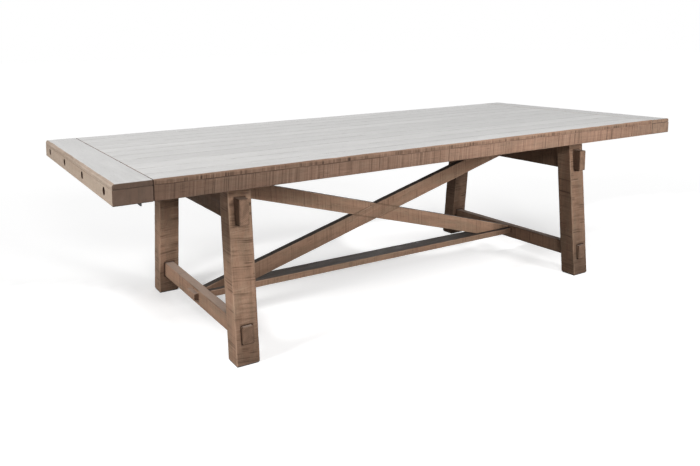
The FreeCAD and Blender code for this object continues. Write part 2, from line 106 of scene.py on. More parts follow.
class NodeDesk:
    """Wires shader nodes in one node tree."""

    def __init__(self, tree: bpy.types.NodeTree) -> None:
        """Keeps the tree that the nodes go into."""
        self.tree = tree

    @classmethod
    def cleared(cls, owner: bpy.types.Material | bpy.types.World) -> "NodeDesk":
        """Starts the nodes of a new material or world.

        Args:
            owner: The material or world.

        Returns:
            The desk of its tree, which has no nodes yet.
        """
        owner.use_nodes = True
        owner.node_tree.nodes.clear()
        return cls(owner.node_tree)

    def add(self, kind: str, plugs: dict[str | int, object] | None = None,
            **settings: object) -> bpy.types.Node:
        """Adds one node.

        Args:
            kind: Blender's type name of the node.
            plugs: Input name or number to a value or to an output socket.
            settings: Properties of the node itself.

        Returns:
            The new node.
        """
        node = self.tree.nodes.new(kind)
        for name, value in settings.items():
            setattr(node, name, value)
        for name, value in (plugs or {}).items():
            if isinstance(value, Socket):
                self.tree.links.new(value, node.inputs[name])
            else:
                node.inputs[name].default_value = value
        return node

    def maths(self, operation: str, first: object, second: object = 0.0, clamp: bool = False) -> Socket:
        """Adds one Math node, whose result stays within 0 and 1 if it is clamped."""
        plugs = {0: first, 1: second}
        return self.add("ShaderNodeMath", plugs, operation=operation, use_clamp=clamp).outputs[0]

    def times(self, first: object, second: object, clamp: bool = False) -> Socket:
        """Multiplies two values."""
        return self.maths("MULTIPLY", first, second, clamp)

    def mix(self, share: object, under: object, over: object) -> Socket:
        """Lays one colour over another, as far as the share says."""
        plugs = {0: share, 6: rgba(under), 7: rgba(over)}
        return self.add("ShaderNodeMix", plugs, data_type="RGBA", blend_type="MIX").outputs[2]

    def spread(self, value: object, low: float, high: float, start: float = 0.0, stop: float = 1.0) -> Socket:
        """Maps low to high onto start to stop with a smooth step, clamped."""
        plugs = {"Value": value, "From Min": low, "From Max": high, "To Min": start, "To Max": stop}
        return self.add("ShaderNodeMapRange", plugs, interpolation_type="SMOOTHSTEP").outputs["Result"]

    def noise(self, vector: object, scale: Point, detail: float = 3.0, rough: float = 0.55,
              bend: float = 0.0) -> Socket:
        """Adds a noise that is stretched differently along each axis.

        Args:
            vector: Socket of the place on the piece, in metres.
            scale: Cells per metre along each axis.
            detail: Octaves of finer noise.
            rough: Weight of the finer octaves.
            bend: Distortion of the noise.

        Returns:
            The noise value's socket.
        """
        scaled = self.add("ShaderNodeVectorMath", {0: vector, 1: scale}, operation="MULTIPLY").outputs[0]
        plugs = {"Vector": scaled, "Scale": 1.0, "Detail": detail, "Roughness": rough, "Distortion": bend}
        return self.add("ShaderNodeTexNoise", plugs).outputs[0]

    def mask(self, name: str) -> Socket:
        """Reads one of the masks that a board's mesh carries; a CAD node gives 0."""
        return self.add("ShaderNodeAttribute", attribute_name=name).outputs["Fac"]

    def group(self, tree: bpy.types.NodeTree, plugs: dict[str, object]) -> bpy.types.NodeOutputs:
        """Places a shared node group and gives its outputs."""
        return self.add("ShaderNodeGroup", plugs, node_tree=tree).outputs

    def parts(self, vector: Socket) -> bpy.types.NodeOutputs:
        """Splits a vector into X, Y and Z."""
        return self.add("ShaderNodeSeparateXYZ", {"Vector": vector}).outputs


def rgba(colour: object) -> object:
    """Gives a three-number colour its alpha and leaves a socket alone."""
    return (*colour, 1.0) if isinstance(colour, tuple) and len(colour) == 3 else colour


def new_group(name: str, numbers: list[str], outputs: list[str]) -> tuple[NodeDesk, bpy.types.NodeOutputs]:
    """Starts a shader node group that takes a place on the piece as Vector.

    Args:
        name: Name of the group.
        numbers: Names of its further inputs, each one value.
        outputs: Names of its outputs, each one value.

    Returns:
        The desk of the group's tree, and what its input node gives out.
    """
    tree = bpy.data.node_groups.new(name, "ShaderNodeTree")
    tree.interface.new_socket(name="Vector", in_out="INPUT", socket_type="NodeSocketVector")
    for way, labels in (("INPUT", numbers), ("OUTPUT", outputs)):
        for label in labels:
            tree.interface.new_socket(name=label, in_out=way, socket_type="NodeSocketFloat")
    desk = NodeDesk(tree)
    return desk, desk.add("NodeGroupInput").outputs


@cache
def timber_grain() -> bpy.types.NodeTree:
    """Grain of sawn timber: fine fibres, broad figure and dark pores, all drawn out along X.

    Rings are the year rings of the end grain: a sine of the distance from a heart line along X.

    Returns:
        The node group, built at its first use.
    """
    desk, take = new_group("timber_grain", [], ["Fibre", "Figure", "Pores", "Rings"])
    place = take["Vector"]
    fibre = desk.noise(place, (5.0, 190.0, 190.0), 4.0, 0.65)
    figure = desk.noise(place, (1.3, 19.0, 19.0), 3.0, 0.55, 0.9)
    pores = desk.noise(place, (26.0, 760.0, 760.0), 2.0, 0.5)
    parts = desk.parts(place)
    heart = desk.add("ShaderNodeCombineXYZ", {"X": desk.maths("PINGPONG", parts["Y"], 0.21),
                                              "Y": desk.maths("PINGPONG", parts["Z"], 0.26)})
    reach = desk.add("ShaderNodeVectorMath", {0: heart.outputs["Vector"]}, operation="LENGTH")
    turns = desk.times(reach.outputs["Value"], 1150.0)
    wave = desk.maths("SINE", desk.maths("ADD", turns, desk.times(figure, 9.0)))
    desk.add("NodeGroupOutput", {"Fibre": desk.spread(fibre, 0.3, 0.7),
                                 "Figure": desk.spread(figure, 0.3, 0.7),
                                 "Pores": desk.spread(pores, 0.57, 0.7),
                                 "Rings": desk.maths("ADD", desk.times(wave, 0.5), 0.5)})
    return desk.tree


@cache
def saw_marks() -> bpy.types.NodeTree:
    """Marks that a saw leaves across the grain: thin broken lines, irregular along X.

    The lines of the mesh come in as Kerf; painted ones are added by Amount.

    Returns:
        The node group, built at its first use.
    """
    desk, take = new_group("saw_marks", ["Kerf", "Lines", "Amount"], ["Mask"])
    place = take["Vector"]
    parts = desk.parts(place)
    lean = desk.times(desk.maths("ADD", parts["Y"], parts["Z"]), 0.05)
    wander = desk.times(desk.noise(place, (2.0, 14.0, 14.0), 1.0), 0.004)
    along = desk.maths("ADD", desk.maths("ADD", parts["X"], lean), wander)
    plugs = {"W": desk.times(along, take["Lines"]), "Scale": 1.0, "Detail": 1.5, "Roughness": 0.6}
    line = desk.add("ShaderNodeTexNoise", plugs, noise_dimensions="1D").outputs[0]
    broken = desk.spread(desk.noise(place, (28.0, 22.0, 22.0), 2.0), 0.36, 0.6)
    painted = desk.times(desk.times(desk.spread(line, 0.55, 0.68), broken), take["Amount"])
    desk.add("NodeGroupOutput", {"Mask": desk.maths("MAXIMUM", painted, take["Kerf"])})
    return desk.tree


@cache
def edge_wear_and_highlight() -> bpy.types.NodeTree:
    """Wear along the eased edges, partly a painted highlight: the edge mask, broken up by a noise with coarse
    and fine octaves.

    Returns:
        The node group, built at its first use.
    """
    desk, take = new_group("edge_wear_and_highlight", ["Edge"], ["Wear"])
    patches = desk.spread(desk.noise(take["Vector"], (9.0, 40.0, 40.0), 4.0, 0.7), 0.38, 0.62)
    desk.add("NodeGroupOutput", {"Wear": desk.times(patches, take["Edge"])})
    return desk.tree


@cache
def stain_clouds() -> bpy.types.NodeTree:
    """Cloudy unevenness of a stain: soft dark patches a hand wide, and greyed ones of another size.

    Returns:
        The node group, built at its first use.
    """
    desk, take = new_group("stain_clouds", [], ["Cloud", "Greyed"])
    cloud = desk.noise(take["Vector"], (3.2, 8.0, 8.0), 3.0, 0.6, 0.4)
    greyed = desk.noise(take["Vector"], (4.7, 23.0, 23.0), 4.0, 0.65, 0.7)
    desk.add("NodeGroupOutput", {"Cloud": desk.spread(cloud, 0.34, 0.66),
                                 "Greyed": desk.spread(greyed, 0.42, 0.68)})
    return desk.tree


@dataclass(frozen=True)
class TimberFinish:
    """Stained timber: its colours, its saw marks and its gloss.

    Colours are linear. Light and dark are the two ends of the grain, grey is the cast of weathered patches,
    deep lies in pores, saw marks, corners and painted shade, worn shows on rubbed edges, partly as a painted
    highlight, and end is that of the end grain. The painted_shade_colour and painted_light_colour are painted
    shade and painted light on the top faces of the lower timbers. Bolts names the CAD node of the bolts
    that are sunk in this timber, if there are any.
    """

    name: str
    light: Colour
    dark: Colour
    grey: Colour
    deep: Colour
    worn: Colour
    end: Colour
    painted_shade_colour: Colour = (0.056, 0.053, 0.05)
    painted_light_colour: Colour = (0.46, 0.40, 0.36)
    mark_tint: float = 0.6
    lines: float = 150.0
    painted: float = 0.0
    broad: float = 0.5
    clouds: float = 0.35
    tone_swing: float = 0.14
    rough: tuple[float, float] = (0.6, 0.85)
    specular: float = 0.13
    coat: float = 0.0
    coat_rough: float = 0.3
    relief: float = 0.0005
    end_streaks: float = 0.0
    bolts: str = ""
    bolt_count: int = 4
    bolt_rim: tuple[float, float] = (1.42, 1.22)

    @cache
    def material(self, run: GrainRun) -> bpy.types.Material:
        """Builds the material for one direction of the grain.

        Args:
            run: Direction of the grain.

        Returns:
            The material, built at its first use.
        """
        made = bpy.data.materials.new(f"{self.name}_{run.name.lower()}")
        desk = NodeDesk.cleared(made)
        place = self.place(desk, run)
        grain = desk.group(timber_grain(), {"Vector": place})
        kerf = {"Vector": place, "Kerf": desk.mask("kerf"), "Lines": self.lines, "Amount": self.painted}
        marks = desk.group(saw_marks(), kerf)["Mask"]
        dips = desk.maths("ADD", desk.times(grain["Pores"], 0.4), desk.times(marks, 0.6))
        height = desk.maths("SUBTRACT", desk.times(grain["Fibre"], 0.45), dips)
        bump = desk.add("ShaderNodeBump", {"Height": height, "Strength": 0.8, "Distance": self.relief})
        plugs = {"Base Color": self.colour(desk, place, grain, marks),
                 "Roughness": desk.spread(grain["Fibre"], 0.0, 1.0, *self.rough),
                 "Specular IOR Level": self.specular, "Coat Weight": self.coat,
                 "Coat Roughness": self.coat_rough, "Normal": bump.outputs["Normal"]}
        shader = desk.add("ShaderNodeBsdfPrincipled", plugs)
        desk.add("ShaderNodeOutputMaterial", {"Surface": shader.outputs["BSDF"]})
        return made

    def place(self, desk: NodeDesk, run: GrainRun) -> Socket:
        """Turns Object coordinates so that the grain lies on X, and shifts each board's grain apart.

        Args:
            desk: Desk of the material.
            run: Direction of the grain.

        Returns:
            The socket of the place on the piece, in metres.
        """
        coords = desk.add("ShaderNodeTexCoord").outputs["Object"]
        turned = desk.add("ShaderNodeMapping", {"Vector": coords, "Rotation": run.value}).outputs["Vector"]
        board = desk.mask("board")
        steps = {"X": desk.times(board, 5.3), "Y": desk.times(board, 9.1), "Z": desk.times(board, 3.7)}
        shift = desk.add("ShaderNodeCombineXYZ", steps).outputs["Vector"]
        return desk.add("ShaderNodeVectorMath", {0: turned, 1: shift}, operation="ADD").outputs["Vector"]

    def end_rail_masks(self, desk: NodeDesk) -> tuple[Socket, Socket]:
        """Masks of a timber with sunk bolts, whose rail is a CAD node without masks of its own.

        End grain faces along Y. Dark joint lines with painted shade lie on the slanting chamfers, stronger on
        faces along Y, and painted shade lies in the bolt holes: 1 near a bolt's axis and 0 past the rim, as
        shares of the head's radius. The bolts stand in an even row on Y, so the nearest axis is a whole
        number of steps from the first.

        Args:
            desk: Desk of the material.

        Returns:
            Sockets of the end grain and of the stain and painted shade.
        """
        normal = desk.parts(desk.add("ShaderNodeNewGeometry").outputs["Normal"])
        facing = desk.maths("ABSOLUTE", normal["Y"])
        slant = desk.maths("ABSOLUTE", desk.maths("SUBTRACT", desk.maths("ABSOLUTE", normal["Z"]), 0.7))
        # dark joint lines with painted shade on the slanting chamfers, stronger on faces along Y
        edges = desk.times(desk.spread(slant, 0.2, 0.1), desk.spread(facing, 0.0, 0.6, 0.18, 0.8))
        low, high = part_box(self.bolts)
        head = (high.z - low.z) / 2.0
        step = (high.y - low.y - 2.0 * head) / (self.bolt_count - 1)
        spot = desk.parts(desk.add("ShaderNodeTexCoord").outputs["Object"])
        turns = desk.maths("DIVIDE", desk.maths("SUBTRACT", spot["Y"], low.y + head), step)
        aside = desk.times(desk.maths("SUBTRACT", turns, desk.maths("ROUND", turns)), step)
        above = desk.maths("SUBTRACT", spot["Z"], (low.z + high.z) / 2.0)
        away = desk.maths("SQRT", desk.maths("ADD", desk.times(aside, aside), desk.times(above, above)))
        # painted shade in the bolt holes
        holes = desk.spread(away, *(share * head for share in self.bolt_rim))
        return desk.spread(facing, 0.75, 0.9), desk.maths("MAXIMUM", edges, holes)

    def end_grain(self, desk: NodeDesk, place: Socket, rings: Socket, greyed: Socket) -> Socket:
        """Colour of the cut ends: year rings, grey mottling and dark streaks.

        Args:
            desk: Desk of the material.
            place: Place on the piece.
            rings: Mask of the year rings.
            greyed: Mask of the greyed patches.

        Returns:
            The colour's socket.
        """
        ringed = desk.mix(desk.times(rings, 0.35), self.end, self.deep)
        mottled = desk.mix(desk.times(greyed, 0.5), ringed, self.deep)
        coarse = desk.noise(place, (3.0, 190.0, 9.0), 3.0, 0.6)
        return desk.mix(desk.spread(coarse, 0.46, 0.68, 0.0, self.end_streaks), mottled, self.deep)

    def colour(self, desk: NodeDesk, place: Socket, grain: bpy.types.NodeOutputs, marks: Socket) -> Socket:
        """Builds up the colour: grain, clouds of stain, pores, saw marks, worn edges partly painted as
        highlights, painted shade and light, ends, stain with painted shade, and painted lightness along the
        board.

        Args:
            desk: Desk of the material.
            place: Place on the piece.
            grain: Outputs of the grain group.
            marks: Mask of the saw marks.

        Returns:
            The colour's socket.
        """
        stain = desk.group(stain_clouds(), {"Vector": place})
        wear_and_highlight = desk.group(edge_wear_and_highlight(), {"Vector": place, "Edge": desk.mask("arris")})["Wear"]
        ends, soil, painted_shading = desk.mask("cap"), desk.mask("soil"), desk.mask("painted_shading")
        if self.bolts:
            own = self.end_rail_masks(desk)
            ends, soil = desk.maths("MAXIMUM", ends, own[0]), desk.maths("MAXIMUM", soil, own[1])
        layers = (
            (stain["Cloud"], self.clouds, self.dark),
            (stain["Greyed"], self.clouds, self.grey),
            (grain["Pores"], 0.4, self.deep),
            (desk.mask("ridge"), 0.5, self.worn),
            (marks, self.mark_tint, self.deep),
            # worn edges, partly a painted highlight
            (wear_and_highlight, 0.55, self.worn),
            # painted shade and painted light on the top faces of the lower timbers
            (painted_shading, -1.0, self.painted_shade_colour),
            (painted_shading, 1.0, self.painted_light_colour),
            (ends, 0.8, self.end_grain(desk, place, grain["Rings"], stain["Greyed"])),
            # stain together with painted shade at the joints, on the tenons, round the mortises, in the bolt
            # holes and towards the feet
            (soil, 1.0, self.deep),
        )
        shade = desk.maths("ADD", desk.times(grain["Figure"], self.broad),
                           desk.times(grain["Fibre"], 1.0 - self.broad))
        colour = desk.mix(shade, self.dark, self.light)
        for mask, amount, over in layers:
            colour = desk.mix(desk.times(mask, amount, True), colour, over)
        # lightness along the board: painted light and shade where given, a random even lightness otherwise
        tone_and_painted_light = desk.maths("ADD", desk.times(desk.mask("tone_and_painted_light"), self.tone_swing), 1.0)
        plugs = {0: colour, "Scale": tone_and_painted_light}
        return desk.add("ShaderNodeVectorMath", plugs, operation="SCALE").outputs["Vector"]


class Timber(Enum):
    """The timber finishes of this table."""

    # The top's pale neutral grey is partly a grey wash and partly painted sheen: the pale reflection along
    # the top at a low angle.
    TOP = TimberFinish(
        "top_board", (0.535, 0.528, 0.518), (0.36, 0.353, 0.345), (0.40, 0.396, 0.39), (0.13, 0.12, 0.112),
        (0.55, 0.54, 0.53), (0.20, 0.14, 0.11), mark_tint=0.3, broad=0.4, clouds=0.32, tone_swing=0.06,
        rough=(0.36, 0.5), specular=0.5, coat=0.35, relief=0.0003)
    BAND = TimberFinish(
        "edge_band", (0.29, 0.178, 0.122), (0.17, 0.10, 0.068), (0.17, 0.125, 0.085), (0.03, 0.017, 0.012),
        (0.40, 0.275, 0.20), (0.12, 0.066, 0.045), mark_tint=0.9, tone_swing=0.3)
    RAIL = TimberFinish(
        "edge_rail", (0.33, 0.202, 0.142), (0.20, 0.119, 0.081), (0.21, 0.152, 0.107), (0.035, 0.02, 0.014),
        (0.44, 0.30, 0.22), (0.12, 0.066, 0.045), mark_tint=0.8, tone_swing=0.3)
    # Both end finishes are paler and greyer than the trestle timber, partly as painted sheen. The right end's
    # pale end grain is painted light; the left end's is dark, and the left end is made evenly darker as
    # painted shade.
    LEFT_END = TimberFinish(
        "left_end_face", (0.42, 0.335, 0.27), (0.29, 0.22, 0.165), (0.30, 0.255, 0.2), (0.05, 0.028, 0.019),
        (0.45, 0.36, 0.295), (0.105, 0.056, 0.039), mark_tint=0.4, lines=120.0, painted=0.6, tone_swing=0.07,
        end_streaks=0.5, bolts="end_bolts_left")
    RIGHT_END = TimberFinish(
        "right_end_face", (0.45, 0.365, 0.295), (0.32, 0.245, 0.185), (0.33, 0.28, 0.22), (0.09, 0.05, 0.034),
        (0.48, 0.39, 0.32), (0.40, 0.25, 0.17), mark_tint=0.4, lines=120.0, painted=0.6, tone_swing=0.0,
        end_streaks=0.5, bolts="end_bolts_right")
    TRESTLE = TimberFinish(
        "trestle_timber", (0.39, 0.24, 0.162), (0.24, 0.143, 0.094), (0.24, 0.18, 0.122),
        (0.04, 0.022, 0.014), (0.47, 0.325, 0.235), (0.33, 0.205, 0.14), mark_tint=1.0, broad=0.72,
        clouds=0.45)
    HIDDEN = TimberFinish(
        "bare_timber", (0.46, 0.34, 0.22), (0.33, 0.23, 0.14), (0.33, 0.26, 0.18), (0.14, 0.09, 0.05),
        (0.48, 0.37, 0.26), (0.26, 0.17, 0.1), mark_tint=0.35, painted=0.5, rough=(0.6, 0.8))


@dataclass(frozen=True)
class Outline:
    """Points round a rectangle with eased corners, before it has a size.

    A point is the blend of two corners' arc centres, plus the corner radius along its normal. Points on
    an arc use one corner twice; points on a flat face lie between two.
    """

    first: Array
    second: Array
    blend: Array
    normal: Array
    flat: Array
    column: Array

    @classmethod
    def drawn(cls, flats: tuple[int, int], arc: int) -> "Outline":
        """Goes round the rectangle: each corner's quarter arc, then the flat face after it.

        Args:
            flats: Points on the top and under faces, and on the left and right faces.
            arc: Points on each corner's arc.

        Returns:
            The outline.
        """
        corner = np.arange(4)
        counts = np.array([[arc, flats[k % 2]] for k in corner]).ravel()
        owner = np.repeat(np.repeat(corner, 2), counts)
        flat = np.repeat(np.tile([False, True], 4), counts)
        turn = np.concatenate([np.append(np.linspace(90.0 * k, 90.0 * k + 90.0, arc),
                                         np.full(flats[k % 2], 90.0 * k + 90.0)) for k in corner])
        blend = np.concatenate([np.append(np.zeros(arc), np.linspace(0.025, 0.975, flats[k % 2]))
                                for k in corner])
        normal = np.column_stack([np.cos(np.radians(turn)), np.sin(np.radians(turn))])
        second = np.where(flat, (owner + 1) % 4, owner)
        arc_column = ~flat & ~np.roll(flat, -1) & (owner == np.roll(owner, -1))
        column = np.where(arc_column, np.array([3, 1, 2, 3])[owner], owner)
        return cls(owner, second, blend, normal, flat, column)

    @property
    def side(self) -> Array:
        """Number of the face that each point's normal is nearest to."""
        axis = np.array([[0.0, 1.0], [-1.0, 0.0], [0.0, -1.0], [1.0, 0.0]])
        return np.argmax(self.normal @ axis.T, axis=1)

    def on(self, *faces: Face) -> Array:
        """Whether each point lies on one of these faces, as one row."""
        return np.isin(self.side, [face.value for face in faces])[None, :]


def drift(rng: np.random.Generator, along: Array, around: Array, cell: tuple[float, float]) -> Array:
    """Smooth random field: random values on a lattice, blended by smooth-step weights both ways.

    Args:
        rng: Seeded generator.
        along: Places along the board.
        around: Places round it.
        cell: Lattice size along and around.

    Returns:
        Values from -1 to 1, one row for each place along.
    """
    a = (along - along.min()) / cell[0]
    b = (around - around.min()) / cell[1]
    i, j = np.floor(a).astype(int), np.floor(b).astype(int)
    lattice = rng.uniform(-1.0, 1.0, (i.max() + 2, j.max() + 2))
    p, q = a - i, b - j
    p, q = (p * p * (3.0 - 2.0 * p))[:, None], q * q * (3.0 - 2.0 * q)
    near = lattice[np.ix_(i, j)] * (1.0 - q) + lattice[np.ix_(i, j + 1)] * q
    far = lattice[np.ix_(i + 1, j)] * (1.0 - q) + lattice[np.ix_(i + 1, j + 1)] * q
    return near * (1.0 - p) + far * p


def bell(distance: Array, reach: float | Array) -> Array:
    """A bell of height 1: e to the power of minus the square of distance over reach."""
    return np.exp(-(distance / reach) ** 2)


def saw_ruler(rng: np.random.Generator, length: float, gap: float,
              wide: tuple[float, float]) -> tuple[Array, Array]:
    """Saw marks on one line along a board: bell-shaped notches at irregular gaps, added up.

    Args:
        rng: Seeded generator.
        length: Length of the board.
        gap: Usual distance between two marks.
        wide: Least and greatest breadth of a mark.

    Returns:
        Places along the line and the depth there, from 0 to 1.
    """
    count = int(2.0 * length / gap) + 40
    places = np.cumsum(gap * rng.lognormal(0.0, 0.45, count)) - RULER_MARGIN
    places = places[places < length + RULER_MARGIN]
    breadth = rng.uniform(*wide, places.size)
    deep = 0.15 + 0.85 * rng.uniform(0.0, 1.0, places.size) ** 2.2
    ruler = np.arange(-RULER_MARGIN, length + RULER_MARGIN, RULER_STEP)
    bells = deep * bell(ruler[:, None] - places, breadth)
    return ruler, np.clip(bells.sum(axis=1), 0.0, 1.0)


@dataclass
class Board:
    """One timber: a rectangle with eased corners carried along a straight path, sawn on its faces.

    The section lies in the plane of across and rise, and the path runs along their cross product. Sizes
    are in metres. Easing gives the radii of the corners top-right, top-left, under-left, under-right, and
    gathered the stain along them. Sawn gives the strength of the saw marks on top, left, under and right,
    whole the level and swing of the patches where they show, and painted_light_tones the lightness along
    the board as painted light and shade; without them the board gets a random even lightness.
    Fade is the share of the stain along corners that is lost at the far end.
    """

    node: str
    start: Point
    end: Point
    across: Point
    rise: Point
    width: float
    depth: float
    run: GrainRun
    seed: int
    body: str = "frame"
    slot: str = "trestle_wood"
    dress: dict[Face, Timber] = field(default_factory=lambda: all_round(Timber.TRESTLE))
    easing: tuple[float, float, float, float] = (0.003, 0.003, 0.003, 0.003)
    end_easing: float = 0.003
    pitch: float = 0.0025
    flats: tuple[int, int] = (8, 8)
    arc: int = 4
    sawn: tuple[float, float, float, float] = (1.0, 1.0, 1.0, 1.0)
    mark_gap: float = 0.0075
    mark_depth: float = 0.0006
    mark_breadth: tuple[float, float] = (0.0010, 0.0023)
    mark_patch: tuple[float, float] = (0.045, 0.028)
    mark_bow: float = 0.0012
    waviness: float = 0.0002
    chips: float = 0.0008
    whole: tuple[float, float] = (0.7, 0.8)
    painted_light_tones: tuple[float, ...] | None = None
    gathered: tuple[float, float, float, float] = (0.0, 0.0, 0.0, 0.0)
    cap_soil: float = 0.05
    rim_soil: float = 0.0
    fade: float = 0.0
    wear_swing: float = 0.3
    rubbed: float = 1.0

    def rings(self) -> tuple[Array, Array, Array, Array]:
        """Stations along the path: end caps, quarter-circle easing at both ends, even steps between.

        Returns:
            Distance run, inset of the section, its shrinking and the end-cap mask, one each per ring.
        """
        length = float(np.linalg.norm(np.subtract(self.end, self.start)))
        ease = self.end_easing
        turn = np.radians(np.linspace(90.0, 0.0, 4))
        steps = max(4, int((length - 2.0 * ease) / self.pitch))
        body = np.linspace(ease, length - ease, steps + 1)[1:-1]
        head_run, head_inset = ease * (1.0 - np.sin(turn)), ease * (1.0 - np.cos(turn))
        shrink, flush = np.array([0.25, 0.5, 0.75, 0.92]), np.full(4, ease)
        run = np.concatenate([np.zeros(4), head_run, body, length - head_run[::-1], np.full(4, length)])
        inset = np.concatenate([flush, head_inset, np.zeros(body.size), head_inset[::-1], flush])
        scale = np.concatenate([shrink, np.ones(body.size + 8), shrink[::-1]])
        cap = np.concatenate([np.ones(6), [0.6, 0.15], np.zeros(body.size), [0.15, 0.6], np.ones(6)])
        return run, inset, scale, cap

    def section(self, run: Array) -> tuple[Array, Array, Array]:
        """Half width, half depth and lift of the section at each distance run."""
        even = np.ones_like(run)
        return even * self.width / 2.0, even * self.depth / 2.0, even * 0.0

    def joints(self, points: Array, outline: Outline) -> tuple[Array, Array]:
        """Extra sinking at joints and the mask of stain and painted shade there; a plain board has none."""
        return np.zeros(points.shape[:2]), np.zeros(points.shape[:2])

    def painted_shading(self, points: Array, outline: Outline) -> Array:
        """Painted shading of top faces, below 0 painted shade and above 0 painted light; a plain board has
        none.
        """
        return np.zeros(points.shape[:2])

    def settle(self, points: Array) -> Array:
        """Last trim of the surface; a plain board needs none."""
        return points

    def saw(self, rng: np.random.Generator, run: Array, outline: Outline, around: Array) -> Array:
        """Depth of one set of saw marks: each face reads its own ruler, skewed across it and broken up.

        Args:
            rng: Seeded generator.
            run: Distance along the board at each ring.
            outline: The section's points.
            around: Distance round the section at each point.

        Returns:
            Depth from 0 to 1 at each point of the surface.
        """
        depth = np.zeros((run.size, around.size))
        for face in range(4):
            ruler, marks = saw_ruler(rng, float(run.max()), self.mark_gap, self.mark_breadth)
            here = outline.side == face
            skew = rng.uniform(-SAW_SKEW, SAW_SKEW)
            bow = self.mark_bow * np.sin(around[here] / BOW_WAVE + rng.uniform(0.0, 6.0))
            reach = run[:, None] + skew * around[here][None, :] + bow[None, :]
            depth[:, here] = np.interp(reach, ruler, marks) * self.sawn[face]
        whole = np.clip(self.whole[0] + self.whole[1] * drift(rng, run, around, self.mark_patch), 0.0, 1.0)
        return depth * whole * np.where(outline.flat, 1.0, 0.8)

    def eased(self, rng: np.random.Generator, run: Array, halves: tuple[Array, Array],
              outline: Outline) -> tuple[Array, Array]:
        """Goes round the section at each ring, with corner radii that drift along the board.

        Args:
            rng: Seeded generator.
            run: Distance along the board at each ring.
            halves: Half width and half depth at each ring.
            outline: The section's points.

        Returns:
            Offsets across and up, one row per ring.
        """
        radius = np.array(self.easing) * (1.0 + self.wear_swing * drift(rng, run, np.arange(4.0), WEAR_CELL))
        signs = np.array([[1.0, 1.0], [-1.0, 1.0], [-1.0, -1.0], [1.0, -1.0]])
        offsets = []
        for axis, half in enumerate(halves):
            centre = signs[:, axis] * (half[:, None] - radius)
            near, far = (centre[:, corner] + radius[:, corner] * outline.normal[:, axis]
                         for corner in (outline.first, outline.second))
            offsets.append((1.0 - outline.blend) * near + outline.blend * far)
        return offsets[0], offsets[1]

    def gather(self, rng: np.random.Generator, run: Array, outline: Outline, soil: Array, cap: Array,
               rim: Array) -> Array:
        """Adds stain along the corners, on the end faces and round their rims to the stain and painted shade
        of the joints.

        Args:
            rng: Seeded generator.
            run: Distance along the board at each ring.
            outline: The section's points.
            soil: Stain and painted shade at the joints.
            cap: Mask of the end faces, one column.
            rim: Mask of the rims, one column.

        Returns:
            Stain and painted shade from 0 to 1 at each point of the surface.
        """
        part = (run / run.max())[:, None]
        broken = np.clip(0.75 + 0.5 * drift(rng, run, np.arange(4.0), LINE_CELL), 0.0, 1.0)[:, outline.first]
        lines = np.where(outline.flat, 0.0, np.array(self.gathered)[outline.first])[None, :]
        soil = soil + lines * broken * (1.0 - self.fade * part)
        soil = soil * (1.0 - cap) + self.cap_soil * cap
        return np.clip(np.maximum(soil, self.rim_soil * rim * (1.0 - 0.5 * self.fade * part)), 0.0, 1.0)

    def surface(self) -> tuple[Array, dict[str, Array], Outline]:
        """Works out the surface: the section at each ring, sunk by saw marks, waves, chips and joints.

        Returns:
            The points, one row per ring, the masks at each point, and the outline.
        """
        rng = np.random.default_rng(self.seed)
        run, inset, scale, cap = self.rings()
        outline = Outline.drawn(self.flats, self.arc)
        half_width, half_depth, lift = self.section(run)
        x, y = self.eased(rng, run, (half_width - inset, half_depth - inset), outline)
        middle = run.size // 2
        hop = np.hypot(np.diff(x[middle], append=x[middle, 0]), np.diff(y[middle], append=y[middle, 0]))
        around = np.concatenate([[0.0], np.cumsum(hop)[:-1]])
        side_wall = (cap < 0.5)[:, None]
        kerf = self.saw(rng, run, outline, around) * side_wall
        ridge = self.saw(rng, run, outline, around) * side_wall * (1.0 - kerf)
        rim = ((scale == 1.0) & (inset > 0.0)).astype(float)[:, None]
        scale, cap, even = scale[:, None], cap[:, None], np.ones_like(kerf)
        across, rise = np.array(self.across), np.array(self.rise)
        way = np.subtract(self.end, self.start)
        path = np.array(self.start) + np.outer(run, way / np.linalg.norm(way))
        section = (scale * x)[..., None] * across + (scale * y + lift[:, None])[..., None] * rise
        points = path[:, None, :] + section
        sink, soil = self.joints(points, outline)
        edge = np.where(outline.flat, 0.0, 1.0)
        chipped = np.clip(drift(rng, run, around, CHIP_CELL) - CHIP_START, 0.0, 1.0) * self.chips * edge
        waves = (0.5 + 0.5 * drift(rng, run, around, WAVE_CELL)) * self.waviness
        rough = 0.3 * np.array(self.sawn)[outline.side] + 0.7 * kerf - 0.3 * ridge
        sink = (sink + np.maximum(rough, 0.0) * self.mark_depth + waves + chipped) * scale ** 2
        outward = outline.normal[:, :1] * across + outline.normal[:, 1:] * rise
        points = self.settle(points - sink[..., None] * outward[None, :, :])
        # stain along corners and ends, with the painted shade of the joints
        soil = self.gather(rng, run, outline, soil, cap, rim)
        # lightness along the board: given values paint light and shade, otherwise a random even lightness
        swing = self.painted_light_tones or (rng.uniform(-1.0, 1.0),) * 2
        tone_and_painted_light = np.interp(run / run.max(), np.linspace(0.0, 1.0, len(swing)), swing)[:, None]
        # painted shade and painted light on the top faces of the lower timbers
        cast = self.painted_shading(points, outline) * side_wall * np.where(outline.flat, 1.0, 0.5)
        arris = self.rubbed * np.maximum(edge[None, :] * side_wall, rim * even)
        masks = {"kerf": kerf, "ridge": ridge, "arris": arris, "cap": even * cap, "painted_shading": cast,
                 "soil": soil, "board": even * rng.uniform(), "tone_and_painted_light": tone_and_painted_light * even}
        return points, masks, outline

